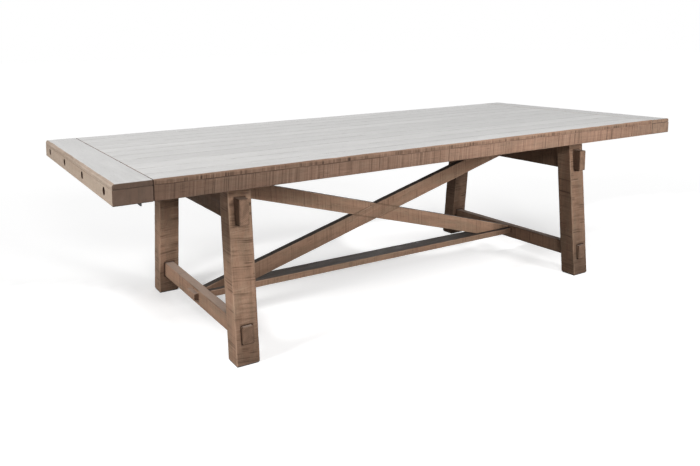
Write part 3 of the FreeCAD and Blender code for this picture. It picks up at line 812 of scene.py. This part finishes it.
    def build(self) -> None:
        """Puts the surface into a mesh, dresses it and sets it in place of its CAD node."""
        points, masks, outline = self.surface()
        rings, columns = points.shape[:2]
        ends = np.stack([points[0].mean(axis=0), points[-1].mean(axis=0)])
        vertices = np.concatenate([points.reshape(-1, 3), ends])
        grid = np.arange(rings * columns).reshape(rings, columns)
        onward = np.roll(grid, -1, axis=1)
        quads = np.stack([grid[:-1], onward[:-1], onward[1:], grid[1:]], axis=-1).reshape(-1, 4)
        first = np.column_stack([onward[0], grid[0], np.full(columns, rings * columns)])
        last = np.column_stack([grid[-1], onward[-1], np.full(columns, rings * columns + 1)])
        used = list(dict.fromkeys(self.dress.values()))
        paint = np.array([used.index(self.dress[face]) for face in Face])
        end_paint = paint[Face.ENDS.value]
        cap = masks["cap"][:-1, 0] + masks["cap"][1:, 0] > END_FACE
        coats = np.where(cap[:, None], end_paint, paint[outline.column][None, :]).ravel()
        coats = np.concatenate([coats, np.full(2 * columns, end_paint)])
        piece = mesh_piece(f"sawn_{self.node}", vertices, quads, np.concatenate([first, last]), coats)
        for name, values in masks.items():
            layer = piece.data.attributes.new(name, "FLOAT", "POINT")
            flat = np.concatenate([values.ravel(), [values[0, 0], values[-1, 0]]])
            layer.data.foreach_set("value", flat.astype(np.float32))
        for timber in used:
            piece.data.materials.append(timber.value.material(self.run))
        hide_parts(self.node)
        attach(piece, self.body)
        LOG.info("%s: %d faces", piece.name, len(piece.data.polygons))


def linked(name: str, data: bpy.types.ID) -> bpy.types.Object:
    """Puts a mesh, a lamp or a camera into the scene.

    Args:
        name: Name of the object.
        data: What it shows.

    Returns:
        The new object, at the origin.
    """
    made = bpy.data.objects.new(name, data)
    bpy.context.scene.collection.objects.link(made)
    return made


def mesh_piece(name: str, vertices: Array, quads: Array, triangles: Array, coats: Array) -> bpy.types.Object:
    """Makes an object of quads followed by triangles, shaded smooth.

    Args:
        name: Name of the piece.
        vertices: One point per row.
        quads: Four vertex numbers per row.
        triangles: Three vertex numbers per row.
        coats: Material number of each face.

    Returns:
        The new object, at the origin.
    """
    mesh = bpy.data.meshes.new(name)
    mesh.vertices.add(len(vertices))
    mesh.vertices.foreach_set("co", vertices.astype(np.float32).ravel())
    corners = np.concatenate([quads.ravel(), triangles.ravel()])
    mesh.loops.add(corners.size)
    mesh.loops.foreach_set("vertex_index", corners.astype(np.int32))
    starts = np.concatenate([np.arange(len(quads)) * 4, quads.size + np.arange(len(triangles)) * 3])
    mesh.polygons.add(len(starts))
    mesh.polygons.foreach_set("loop_start", starts.astype(np.int32))
    mesh.polygons.foreach_set("material_index", coats.astype(np.int32))
    mesh.polygons.foreach_set("use_smooth", np.ones(len(starts), bool))
    mesh.update(calc_edges=True)
    return linked(name, mesh)


def all_round(timber: Timber, **others: Timber) -> dict[Face, Timber]:
    """Dresses every face of a board alike, except those named."""
    return {face: others.get(face.name.lower(), timber) for face in Face}


def dress_node(name: str, material: bpy.types.Material) -> None:
    """Gives a carried-over CAD node its material.

    Args:
        name: Name of the CAD node.
        material: Its finish.
    """
    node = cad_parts[name]
    node.data.materials.clear()
    node.data.materials.append(material)
    LOG.info("%s: dressed with %s", name, material.name)


def lengthwise(node: str, over: float = 0.0) -> dict[str, object]:
    """Path, section and grain of a CAD board that runs along X.

    Args:
        node: Name of the CAD node.
        over: Length that is added at each end.

    Returns:
        Fields of a Board by name, with the width in Y and the depth in Z.
    """
    low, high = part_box(node)
    y, z = (low.y + high.y) / 2.0, (low.z + high.z) / 2.0
    return {"node": node, "start": (low.x - over, y, z), "end": (high.x + over, y, z), "across": (0, 1, 0),
            "rise": (0, 0, 1), "width": high.y - low.y, "depth": high.z - low.z, "run": GrainRun.LENGTHWISE}


def crosswise(node: str) -> dict[str, object]:
    """Path, section and grain of a CAD board that runs along Y, taken from back to front.

    Args:
        node: Name of the CAD node.

    Returns:
        Fields of a Board by name, with the width in X and the depth in Z.
    """
    low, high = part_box(node)
    x, z = (low.x + high.x) / 2.0, (low.z + high.z) / 2.0
    return {"node": node, "start": (x, high.y, z), "end": (x, low.y, z), "across": (1, 0, 0),
            "rise": (0, 0, 1), "width": high.x - low.x, "depth": high.z - low.z, "run": GrainRun.CROSSWISE}


@dataclass
class TableTop:
    """Lengthwise planks over a front and a back side rail."""

    planks: int = 11
    round_over: float = 0.007
    seam: float = 0.0024
    under_easing: float = 0.001
    rail_easing: float = 0.0018
    over_seam: float = 0.0006
    # painted light along the front edge: darker at the left end, lighter towards the right
    band_painted_light: tuple[float, ...] = (-0.6, 0.45, 1.5, 1.1)
    rail_painted_light: tuple[float, ...] = (-1.3, -0.2, 1.4, 0.9)

    def plank(self, number: int) -> Board:
        """One plank; the two outer ones have a rounded, sawn outer edge.

        Args:
            number: Number of the plank from the front, from 1.

        Returns:
            The board.
        """
        front, back = number == 1, number == self.planks
        right, left = (self.round_over if outer else self.seam for outer in (back, front))
        board = Board(
            **lengthwise(f"top_plank_{number:02d}", self.over_seam), seed=100 + number, slot="top_boards",
            dress=all_round(Timber.TOP, under=Timber.BAND, ends=Timber.BAND),
            easing=(right, left, self.under_easing, self.under_easing), end_easing=0.0012, pitch=0.009,
            flats=(10, 3), arc=3, sawn=(0.0, float(front), 0.3, float(back)), mark_gap=0.0058,
            mark_breadth=(0.0012, 0.003), mark_depth=0.0008, waviness=0.00025, chips=0.0006,
            whole=(0.85, 0.5), gathered=(0.0 if back else 0.55, 0.0 if front else 0.55, 0.8, 0.8),
            rubbed=0.25)
        if not front and not back:
            return board
        edge = Face.LEFT if front else Face.RIGHT
        return replace(board, dress=board.dress | {edge: Timber.BAND}, pitch=0.002, flats=(10, 8), arc=5,
                       painted_light_tones=self.band_painted_light, rim_soil=0.8, fade=0.7)

    def side_rail(self, side: str) -> Board:
        """The deep rail under the front or the back edge."""
        return Board(
            **lengthwise(f"side_rail_{side}"), seed=130 + len(side), slot="edge_rails",
            dress=all_round(Timber.RAIL), easing=(self.rail_easing,) * 4, end_easing=0.0015, pitch=0.002,
            flats=(4, 12), sawn=(0.0, 1.0, 0.5, 1.0), mark_gap=0.0068, whole=(0.85, 0.5),
            painted_light_tones=self.rail_painted_light, gathered=(0.8, 0.8, 0.5, 0.5), rim_soil=0.8, fade=0.7)

    def build(self) -> None:
        """Builds the planks and both side rails."""
        for number in range(1, self.planks + 1):
            self.plank(number).build()
        for side in ("front", "back"):
            self.side_rail(side).build()


@dataclass
class BreadboardEnd:
    """One draw-out end: a cross board over a cross rail, with bolt heads sunk in its outer face."""

    side: str
    round_over: float = 0.010
    seam: float = 0.0013
    under_easing: float = 0.0012

    @property
    def timber(self) -> Timber:
        """The end's own finish."""
        return Timber.LEFT_END if self.side == "left" else Timber.RIGHT_END

    def board(self) -> Board:
        """The cross board, rounded over at its outer top edge.

        Returns:
            The board.
        """
        left = self.side == "left"
        top = (self.seam, self.round_over) if left else (self.round_over, self.seam)
        return Board(
            **crosswise(f"breadboard_{self.side}"), seed=150 + left, body=f"{self.side}_end",
            slot="top_boards", dress=all_round(self.timber, top=Timber.TOP),
            easing=(*top, self.under_easing, self.under_easing), end_easing=0.002, pitch=0.003, flats=(14, 8),
            arc=5, sawn=(0.0, 0.45, 0.3, 0.45), mark_gap=0.011, mark_depth=0.0004,
            # painted shade: the end board is made evenly darker
            gathered=(0.0, 0.0, 0.25, 0.25), painted_light_tones=(-1.8, -1.8), wear_swing=0.12)

    def build(self) -> None:
        """Builds the cross board and dresses the rail below it."""
        self.board().build()
        dress_node(f"breadboard_rail_{self.side}", self.timber.value.material(GrainRun.CROSSWISE))


@dataclass
class Leg(Board):
    """A splayed leg, level at head and foot, with two mortises that other timbers pass through.

    Its section is level at every height, so the path leans and the section does not. A mortise is given
    as its middle and half width in X, and its lower and upper edge.
    """

    mortises: tuple[tuple[float, float, float, float], ...] = ()
    groove: float = 0.0015
    groove_reach: float = 0.0018
    groove_shade_reach: float = 0.005
    foot_soil: float = 0.26

    def joints(self, points: Array, outline: Outline) -> tuple[Array, Array]:
        """Sinks a fine groove round each mortise, paints shade in it and darkens the leg towards the foot as
        painted shade.

        The groove is a bell across the distance to the mortise's rectangle in the X and Z plane.

        Args:
            points: Points of the surface.
            outline: The section's points.

        Returns:
            Sinking and painted shade mask at each point.
        """
        sink, soil = super().joints(points, outline)
        flat = outline.on(Face.TOP, Face.UNDER) & outline.flat
        for x, half_x, low, high in self.mortises:
            out_x = np.abs(points[..., 0] - x) - half_x
            out_z = np.abs(points[..., 2] - (low + high) / 2.0) - (high - low) / 2.0
            outside = np.hypot(np.maximum(out_x, 0.0), np.maximum(out_z, 0.0))
            away = outside + np.minimum(np.maximum(out_x, out_z), 0.0)
            sink += flat * self.groove * bell(away, self.groove_reach)
            # painted shade in the groove round the mortise
            soil += flat * 0.95 * bell(np.maximum(away, 0.0), self.groove_shade_reach)
        # painted shade, darker towards the foot
        soil += np.where(flat, 0.5, 0.2) * np.clip(1.0 - points[..., 2] / self.foot_soil, 0.0, 1.0)
        return sink, soil


def tenon_shade(away: Array, outline: Outline, shown: float, cheeks: float, others: float) -> Array:
    """Painted shade on the part of a tenon that shows: it sets in at the face that the tenon comes out of.

    Args:
        away: Distance of each point from the table's middle.
        outline: The section's points.
        shown: Distance of that face from the middle.
        cheeks: Painted shade on the left and right faces.
        others: Painted shade on the top and under faces.

    Returns:
        Painted shade at each point.
    """
    share = np.where(outline.on(Face.LEFT, Face.RIGHT), cheeks, others)
    return share * np.clip((away - shown) / TENON_SHADE_RAMP, 0.0, 1.0)


@dataclass
class CrossTimber(Board):
    """A cross rail of a trestle whose tenons pass through both legs; a bolster's tenons are cut lower.

    Shoulder and shown are the distances from the middle at which it enters and leaves a leg, and dim is
    the even painted shade between the legs.
    """

    tenon_top: float = 0.0
    shoulder: float = 0.0
    shown: float = 0.0
    dim: float = 0.0
    slant: float = 0.01

    def section(self, run: Array) -> tuple[Array, Array, Array]:
        """The top drops to the tenon's height inside the leg; width and underside stay.

        Args:
            run: Distance from the back end.

        Returns:
            Half width, half depth and lift at each distance.
        """
        away = np.abs(self.start[1] - run)
        low = self.start[2] - self.depth / 2.0
        drop = np.clip((away - self.shoulder) / self.slant, 0.0, 1.0)
        top = low + self.depth - drop * (low + self.depth - self.tenon_top)
        return np.full_like(run, self.width / 2.0), (top - low) / 2.0, (top + low) / 2.0 - self.start[2]

    def joints(self, points: Array, outline: Outline) -> tuple[Array, Array]:
        """Paints shade on the tenons, where the rail meets a leg and, evenly, between the legs.

        Args:
            points: Points of the surface.
            outline: The section's points.

        Returns:
            Sinking, which is none, and painted shade mask at each point.
        """
        away = np.abs(points[..., 1])
        # painted shade where the rail meets a leg and, evenly, between the legs
        inner = np.maximum(0.5 * bell(away - self.shoulder, COLLAR), self.dim * (away < self.shoulder))
        return np.zeros(away.shape), tenon_shade(away, outline, self.shown, 0.6, 0.35) + inner

    def painted_shading(self, points: Array, outline: Outline) -> Array:
        """Paints light on the top face."""
        return np.broadcast_to(0.4 * outline.on(Face.TOP), points.shape[:2])


@dataclass
class Trestle:
    """One A-shaped trestle: two splayed legs, a bolster above and a cross stretcher below."""

    side: str
    leg_depth: float = 0.072
    leg_easing: float = 0.0035
    tenon_top: float = 0.626
    # painted light and shade along each leg from foot to head: left front, left back, right front, right back
    leg_painted_light: tuple[tuple[float, ...], ...] = ((0.4, 0.8), (-0.8, -0.8), (-2.0, 0.8), (-2.8, -2.8))

    def mortise(self, other: str, top: float | None = None) -> tuple[float, float, float, float]:
        """Hole of a cross timber in a leg: middle and half width in X, lower and upper edge."""
        low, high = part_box(other)
        return (low.x + high.x) / 2.0, (high.x - low.x) / 2.0, low.z, top or high.z

    def leg(self, end: str) -> Leg:
        """One leg, from foot to head.

        Args:
            end: Front or back.

        Returns:
            The board.
        """
        node = f"leg_{self.side}_{end}"
        low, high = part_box(node)
        out = -1.0 if end == "front" else 1.0
        foot = out * (max(abs(low.y), abs(high.y)) - self.leg_depth / 2.0)
        head = out * (min(abs(low.y), abs(high.y)) + self.leg_depth / 2.0)
        x = (low.x + high.x) / 2.0
        return Leg(
            node, (x, foot, low.z), (x, head, high.z), (1, 0, 0), (0, 1, 0), high.x - low.x, self.leg_depth,
            GrainRun.UPRIGHT, seed=170 + len(self.side) * 3 + len(end), easing=(self.leg_easing,) * 4,
            pitch=0.002, flats=(40, 18), sawn=(1.0, 0.8, 1.0, 0.8), mark_gap=0.0068, mark_depth=0.0009,
            mark_breadth=(0.001, 0.0027), whole=(0.6, 1.0), mark_patch=(0.02, 0.03), mark_bow=0.002,
            gathered=(0.3, 0.3, 0.0, 0.4), painted_light_tones=self.leg_painted_light[2 * (self.side == "right") + (end == "back")],
            mortises=(self.mortise(f"bolster_{self.side}", self.tenon_top),
                      self.mortise(f"cross_stretcher_{self.side}")))

    def bolster(self) -> CrossTimber:
        """The upper cross rail, whose tenons are lower than its middle."""
        return CrossTimber(
            **crosswise(f"bolster_{self.side}"), seed=190 + len(self.side), pitch=0.003, flats=(6, 24),
            sawn=(0.0, 0.7, 0.7, 0.7), gathered=(0.4,) * 4, rim_soil=0.3, tenon_top=self.tenon_top,
            shoulder=0.318, shown=0.393, dim=0.5)

    def cross_stretcher(self) -> CrossTimber:
        """The lower cross rail, whose tenons are as high as its middle."""
        fields = crosswise(f"cross_stretcher_{self.side}")
        return CrossTimber(
            **fields, seed=200 + len(self.side), flats=(8, 14), sawn=(0.7, 0.8, 0.7, 0.8), mark_gap=0.009,
            cap_soil=0.35, gathered=(0.4,) * 4, rim_soil=0.4,
            tenon_top=fields["start"][2] + fields["depth"] / 2.0, shoulder=0.362, shown=0.433,
            dim=0.2 if self.side == "right" else 0.0)

    def build(self) -> None:
        """Builds the four timbers."""
        for timber in (self.leg("front"), self.leg("back"), self.bolster(), self.cross_stretcher()):
            timber.build()


@dataclass
class LongTimber(Board):
    """The flat long stretcher, tenoned through both cross stretchers.

    Shoulder and shown are the distances from the middle at which it enters and leaves a cross stretcher,
    and shade_reach is where the painted shade on its top ends.
    """

    shoulder: float = 0.922
    shade_reach: float = 0.945
    shown: float = 0.966

    def joints(self, points: Array, outline: Outline) -> tuple[Array, Array]:
        """Paints shade on the tenons' sides and at the cross stretchers.

        Args:
            points: Points of the surface.
            outline: The section's points.

        Returns:
            Sinking, which is none, and painted shade mask at each point.
        """
        away = np.abs(points[..., 0])
        # painted shade beside the cross stretchers and on the tenons' sides
        inner = 0.6 * bell(away - self.shoulder, COLLAR)
        return np.zeros(away.shape), tenon_shade(away, outline, self.shown, 0.7, 0.1) + inner

    def painted_shading(self, points: Array, outline: Outline) -> Array:
        """Paints shade on the top face between the trestles and light on the tops of the tenons."""
        return np.where(np.abs(points[..., 0]) < self.shade_reach, -0.9, 0.35) * outline.on(Face.TOP)


@dataclass
class Brace(Board):
    """A long diagonal brace with upright end cuts, half-lapped into its fellow at the middle.

    Its section is upright at every station, so the path slopes and the section does not.
    """

    seat: float = 0.14
    seat_play: float = 0.0002
    crossing: float = 0.0
    fellow_slope: float = 0.0
    sunk_face: Face = Face.LEFT
    lap_sink: float = 0.0025
    lap_rim: float = 0.002
    lap_stain: float = 0.003

    def joints(self, points: Array, outline: Outline) -> tuple[Array, Array]:
        """Sinks the face that its fellow crosses and gathers stain at the lap.

        The fellow's strip is the band about its centre line, as high as this brace.

        Args:
            points: Points of the surface.
            outline: The section's points.

        Returns:
            Sinking and stain mask at each point.
        """
        off = np.abs(points[..., 2] - self.crossing - self.fellow_slope * points[..., 0]) - self.depth / 2.0
        sink = self.lap_sink * outline.on(self.sunk_face) * np.clip(-off / self.lap_rim + 0.4, 0.0, 1.0)
        return sink, 0.5 * bell(off, self.lap_stain)

    def painted_shading(self, points: Array, outline: Outline) -> Array:
        """Paints shade on the top face."""
        return np.broadcast_to(-0.9 * outline.on(Face.TOP), points.shape[:2])

    def settle(self, points: Array) -> Array:
        """Cuts the toe level where it sits on the long stretcher."""
        points[..., 2] = np.maximum(points[..., 2], self.seat - self.seat_play)
        return points


@dataclass
class Bracing:
    """The long stretcher and the two braces that cross between the trestles."""

    brace_width: float = 0.072
    crossing: float = 0.3589

    def stretcher(self) -> LongTimber:
        """The flat board low between the trestles."""
        return LongTimber(**lengthwise("long_stretcher"), seed=211, flats=(14, 6), sawn=(0.5, 0.6, 0.6, 0.6),
                          mark_gap=0.01, mark_depth=0.0004)

    def brace(self, way: str) -> Brace:
        """One brace.

        Args:
            way: Rising or falling towards the right.

        Returns:
            The board.
        """
        node = f"brace_{way}"
        low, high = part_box(node)
        rising = way == "rising"
        slope = BRACE_SLOPE if rising else -BRACE_SLOPE
        y = (low.y + high.y) / 2.0
        start, end = ((x, y, self.crossing + slope * x) for x in (low.x, high.x))
        return Brace(
            node, start, end, (0, 1, 0), (0, 0, 1), high.y - low.y, self.brace_width * math.hypot(1.0, slope),
            GrainRun.RISING if rising else GrainRun.FALLING, seed=220 + len(way), end_easing=0.0015,
            flats=(6, 16), sawn=(0.4, 0.6, 0.6, 0.6), mark_gap=0.01, mark_depth=0.0004,
            # painted light and shade along each brace, darker at its left end
            painted_light_tones=(-2.8, 2.8) if rising else (-0.6, 2.2), crossing=self.crossing, fellow_slope=-slope,
            sunk_face=Face.RIGHT if rising else Face.LEFT)

    def build(self) -> None:
        """Builds the stretcher and both braces."""
        for timber in (self.stretcher(), self.brace("rising"), self.brace("falling")):
            timber.build()


@dataclass
class HiddenFrame:
    """Timbers under the top that carry it and that the ends slide on, kept from the CAD model."""

    along: tuple[str, ...] = tuple(f"runner_{side}_{n}" for side in ("left", "right") for n in range(1, 5))
    across: tuple[str, ...] = (
        "end_rail_left", "end_rail_right", "cross_batten_left", "cross_batten_middle", "cross_batten_right",
        "stop_pins_left", "stop_pins_right")

    def build(self) -> None:
        """Dresses every hidden timber with bare wood, its grain along its length."""
        for names, run in ((self.along, GrainRun.LENGTHWISE), (self.across, GrainRun.CROSSWISE)):
            for name in names:
                dress_node(name, Timber.HIDDEN.value.material(run))


@dataclass
class Ironwork:
    """Black steel parts and the feet's glides, which keep the plain colours of the CAD model."""

    paired: tuple[str, ...] = ("end_bolts", "catch_pivot", "catch_lever", "top_brackets", "bracket_screws")
    single: tuple[str, ...] = ("catch_studs", "foot_glides")

    def build(self) -> None:
        """Reports bolts, catches, brackets and glides, and leaves them as they are."""
        pairs = (f"{name}_{side}" for name in self.paired for side in ("left", "right"))
        for name in (*pairs, *self.single):
            LOG.info("%s: keeps %s", name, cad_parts[name].data.materials[0].name)


@dataclass(frozen=True)
class Softbox:
    """A rectangular studio lamp, aimed at a point."""

    name: str
    place: Point
    aim: Point
    size: tuple[float, float]
    watts: float

    def turn(self) -> Quaternion:
        """The turn that points the lamp's -Z axis at its aim."""
        return (Vector(self.aim) - Vector(self.place)).to_track_quat("-Z", "Y")

    def open_light(self, ground: Array) -> Array:
        """Light of this lamp on open ground, as the radiance that a white floor would have.

        Each of 5 x 5 spots of the lamp gives watts / pi squared x the cosine at the lamp x the cosine
        at the floor / the distance squared, and the lamp gives the mean of its spots.

        Args:
            ground: Points of the floor, one row each.

        Returns:
            One value for each point.
        """
        axes = np.array(self.turn().to_matrix()).T
        share = np.linspace(-0.4, 0.4, 5)
        over, along = np.meshgrid(share * self.size[0], share * self.size[1])
        spots = np.array(self.place) + over.reshape(-1, 1) * axes[0] + along.reshape(-1, 1) * axes[1]
        way = spots[None] - ground[:, None]
        far = np.linalg.norm(way, axis=2)
        facing = np.clip(way @ axes[2], 0.0, None) / far
        return self.watts / np.pi**2 * (facing * way[..., 2] / far**3).mean(axis=1)

    def build(self) -> None:
        """Hangs the lamp; it lights the table but stays out of the picture."""
        light = bpy.data.lights.new(self.name, "AREA")
        light.shape = "RECTANGLE"
        light.size, light.size_y = self.size
        light.energy = self.watts
        lamp = linked(self.name, light)
        lamp.location = self.place
        lamp.rotation_euler = self.turn().to_euler()
        lamp.visible_camera = False


@dataclass
class Studio:
    """White floor and background, softboxes in front and on the left, and a soft light from above.

    A softbox behind, lower than the table top, lights the back and the right end alone. A patch of painted
    light on the floor is given as its middle, its reach in X and Y, and its strength.
    """

    floor_half: float = 40.0
    floor_lines: int = 241
    floor_white: float = 1.03
    floor_catch: float = 0.7
    floor_bounce: float = 0.3
    # painted light on the floor, over the table's shade
    painted_light_patches: tuple[Patch, ...] = (
        ((-0.2, -2.55), (6.0, 2.55), 0.42),
        ((-2.3, 0.1), (1.3, 0.8), 0.35),
        ((0.7, 0.48), (0.5, 0.36), 0.2),
        ((0.2, 0.3), (1.15, 0.55), 0.15),
        ((1.0, 0.12), (0.2, 0.12), 0.2),
        ((2.4, -0.2), (0.95, 0.6), 0.12),
    )
    patch_rim: tuple[float, float] = (1.05, 0.9)
    ambient: float = 0.13
    lamps: tuple[Softbox, ...] = (
        Softbox("front_left_softbox", (-2.3, -5.0, 2.7), (0.0, 0.0, 0.5), (1.2, 0.5), 95.0),
        Softbox("front_right_softbox", (1.6, -4.6, 2.0), (0.2, 0.0, 0.5), (1.2, 0.8), 130.0),
        Softbox("left_softbox", (-4.0, -0.6, 2.3), (-1.2, 0.0, 0.62), (0.9, 0.9), 112.0),
        Softbox("overhead", (0.0, 0.2, 3.7), (0.0, 0.0, 0.7), (4.0, 2.6), 55.0),
        Softbox("low_back_softbox", (3.6, 4.6, 0.33), (0.0, 0.0, 0.33), (1.6, 0.3), 100.0),
    )

    def by_ray(self, desk: NodeDesk, light: Socket, seen: Socket) -> Socket:
        """Shows one shader to the camera, in a gloss and through glass, and another as light on the table.

        Args:
            desk: Desk of the material or world.
            light: Shader for light on the table.
            seen: Shader for what is seen.

        Returns:
            The socket of both.
        """
        ray = desk.add("ShaderNodeLightPath").outputs
        glossy = desk.maths("ADD", ray["Is Glossy Ray"], ray["Is Transmission Ray"])
        share = desk.maths("ADD", ray["Is Camera Ray"], glossy, True)
        return desk.add("ShaderNodeMixShader", {"Fac": share, 1: light, 2: seen}).outputs[0]

    def floor_mesh(self) -> bpy.types.Mesh:
        """A grid in X and Y whose lines crowd at the table, as the cube of an even step, with its glow.

        The glow is what the lamps and the world leave short of white on open ground, so that only shade
        shows. Soft-rimmed ellipses paint light over the table's shade on the floor: in front, at both sides
        and between the trestles.

        Returns:
            The mesh, with the glow as a point attribute.
        """
        n = self.floor_lines
        line = self.floor_half * np.linspace(-1.0, 1.0, n) ** 3
        x, y = np.meshgrid(line, line)
        ground = np.stack((x, y, np.zeros_like(x)), axis=-1).reshape(-1, 3)
        first = (np.arange(n - 1)[:, None] * n + np.arange(n - 1)).reshape(-1, 1)
        mesh = bpy.data.meshes.new("floor")
        mesh.from_pydata(ground.tolist(), [], (first + np.array([0, 1, n + 1, n])).tolist())
        lit = self.ambient + sum(lamp.open_light(ground) for lamp in self.lamps)
        glow = np.clip(self.floor_white - self.floor_catch * lit, 0.0, None)
        for middle, reach, lift in self.painted_light_patches:
            away = np.linalg.norm((ground[:, :2] - np.array(middle)) / np.array(reach), axis=1)
            glow += lift * np.interp(-away, [-edge for edge in self.patch_rim], (0.0, 1.0))
        mesh.attributes.new("glow", "FLOAT", "POINT").data.foreach_set("value", glow.astype(np.float32))
        return mesh

    def floor(self) -> None:
        """Lays the floor: it looks white, keeps the shadow and throws back only some light."""
        mesh = self.floor_mesh()
        made = bpy.data.materials.new("floor_white")
        desk = NodeDesk.cleared(made)
        glow = desk.add("ShaderNodeEmission", {"Color": WHITE, "Strength": desk.mask("glow")})
        catch, bounce = (desk.add("ShaderNodeBsdfDiffuse", {"Color": rgba((grey,) * 3)}).outputs[0]
                         for grey in (self.floor_catch, self.floor_bounce))
        shown = desk.add("ShaderNodeAddShader", {0: glow.outputs[0], 1: catch}).outputs[0]
        desk.add("ShaderNodeOutputMaterial", {"Surface": self.by_ray(desk, bounce, shown)})
        mesh.materials.append(made)
        linked("floor", mesh)

    def world(self) -> None:
        """White to the eye and in reflections, a low even light otherwise."""
        world = bpy.data.worlds.new("studio")
        desk = NodeDesk.cleared(world)
        dim, white = (desk.add("ShaderNodeBackground", {"Color": WHITE, "Strength": strength}).outputs[0]
                      for strength in (self.ambient, 1.0))
        desk.add("ShaderNodeOutputWorld", {"Surface": self.by_ray(desk, dim, white)})
        bpy.context.scene.world = world

    def build(self) -> None:
        """Sets the floor, the world, the lamps and the plain view transform."""
        self.floor()
        self.world()
        for lamp in self.lamps:
            lamp.build()
        bpy.context.scene.view_settings.view_transform = "Standard"


@dataclass
class Viewpoint:
    """The camera at the photograph's place, found by fitting the table's corners.

    Angles are in radians: the heading from +Y towards +X, the dip below the horizon and the roll. Focal
    length and centre are in pixels of the picture, the sensor's width is in millimetres.
    """

    place: Point = (-1.9959664, -2.4490475, 1.1969004)
    heading: float = 0.4654
    dip: float = 0.1108
    roll: float = -0.0190
    focal: float = 642.58
    centre: tuple[float, float] = (233.365, 112.447)
    sensor: float = 36.0
    far_end: float = 200.0

    def build(self) -> None:
        """Sets up the camera: axes from the three angles, lens and shift from the focal length and centre."""
        a, e, r = self.heading, self.dip, self.roll
        ahead = Vector((math.sin(a) * math.cos(e), math.cos(a) * math.cos(e), -math.sin(e)))
        level = Vector((math.cos(a), -math.sin(a), 0.0))
        above = level.cross(ahead)
        right = math.cos(r) * level + math.sin(r) * above
        up = -math.sin(r) * level + math.cos(r) * above
        data = bpy.data.cameras.new("photo_camera")
        data.sensor_fit = "HORIZONTAL"
        data.sensor_width = self.sensor
        data.lens = self.focal * self.sensor / IMAGE_WIDTH
        data.shift_x = (IMAGE_WIDTH / 2.0 - self.centre[0]) / IMAGE_WIDTH
        data.shift_y = -(IMAGE_HEIGHT / 2.0 - self.centre[1]) / IMAGE_WIDTH
        data.clip_end = self.far_end
        camera = linked("photo_camera", data)
        turn = Matrix((right, up, -ahead)).transposed().to_4x4()
        camera.matrix_world = Matrix.Translation(Vector(self.place)) @ turn
        bpy.context.scene.camera = camera


def main() -> None:
    """Builds the table, the studio and the camera."""
    logging.basicConfig(level=logging.INFO, format="%(name)s %(message)s")
    TableTop().build()
    for side in ("left", "right"):
        BreadboardEnd(side).build()
        Trestle(side).build()
    Bracing().build()
    HiddenFrame().build()
    Ironwork().build()
    Studio().build()
    Viewpoint().build()
    bpy.context.view_layer.update()


if __name__ == "__main__":
    main()
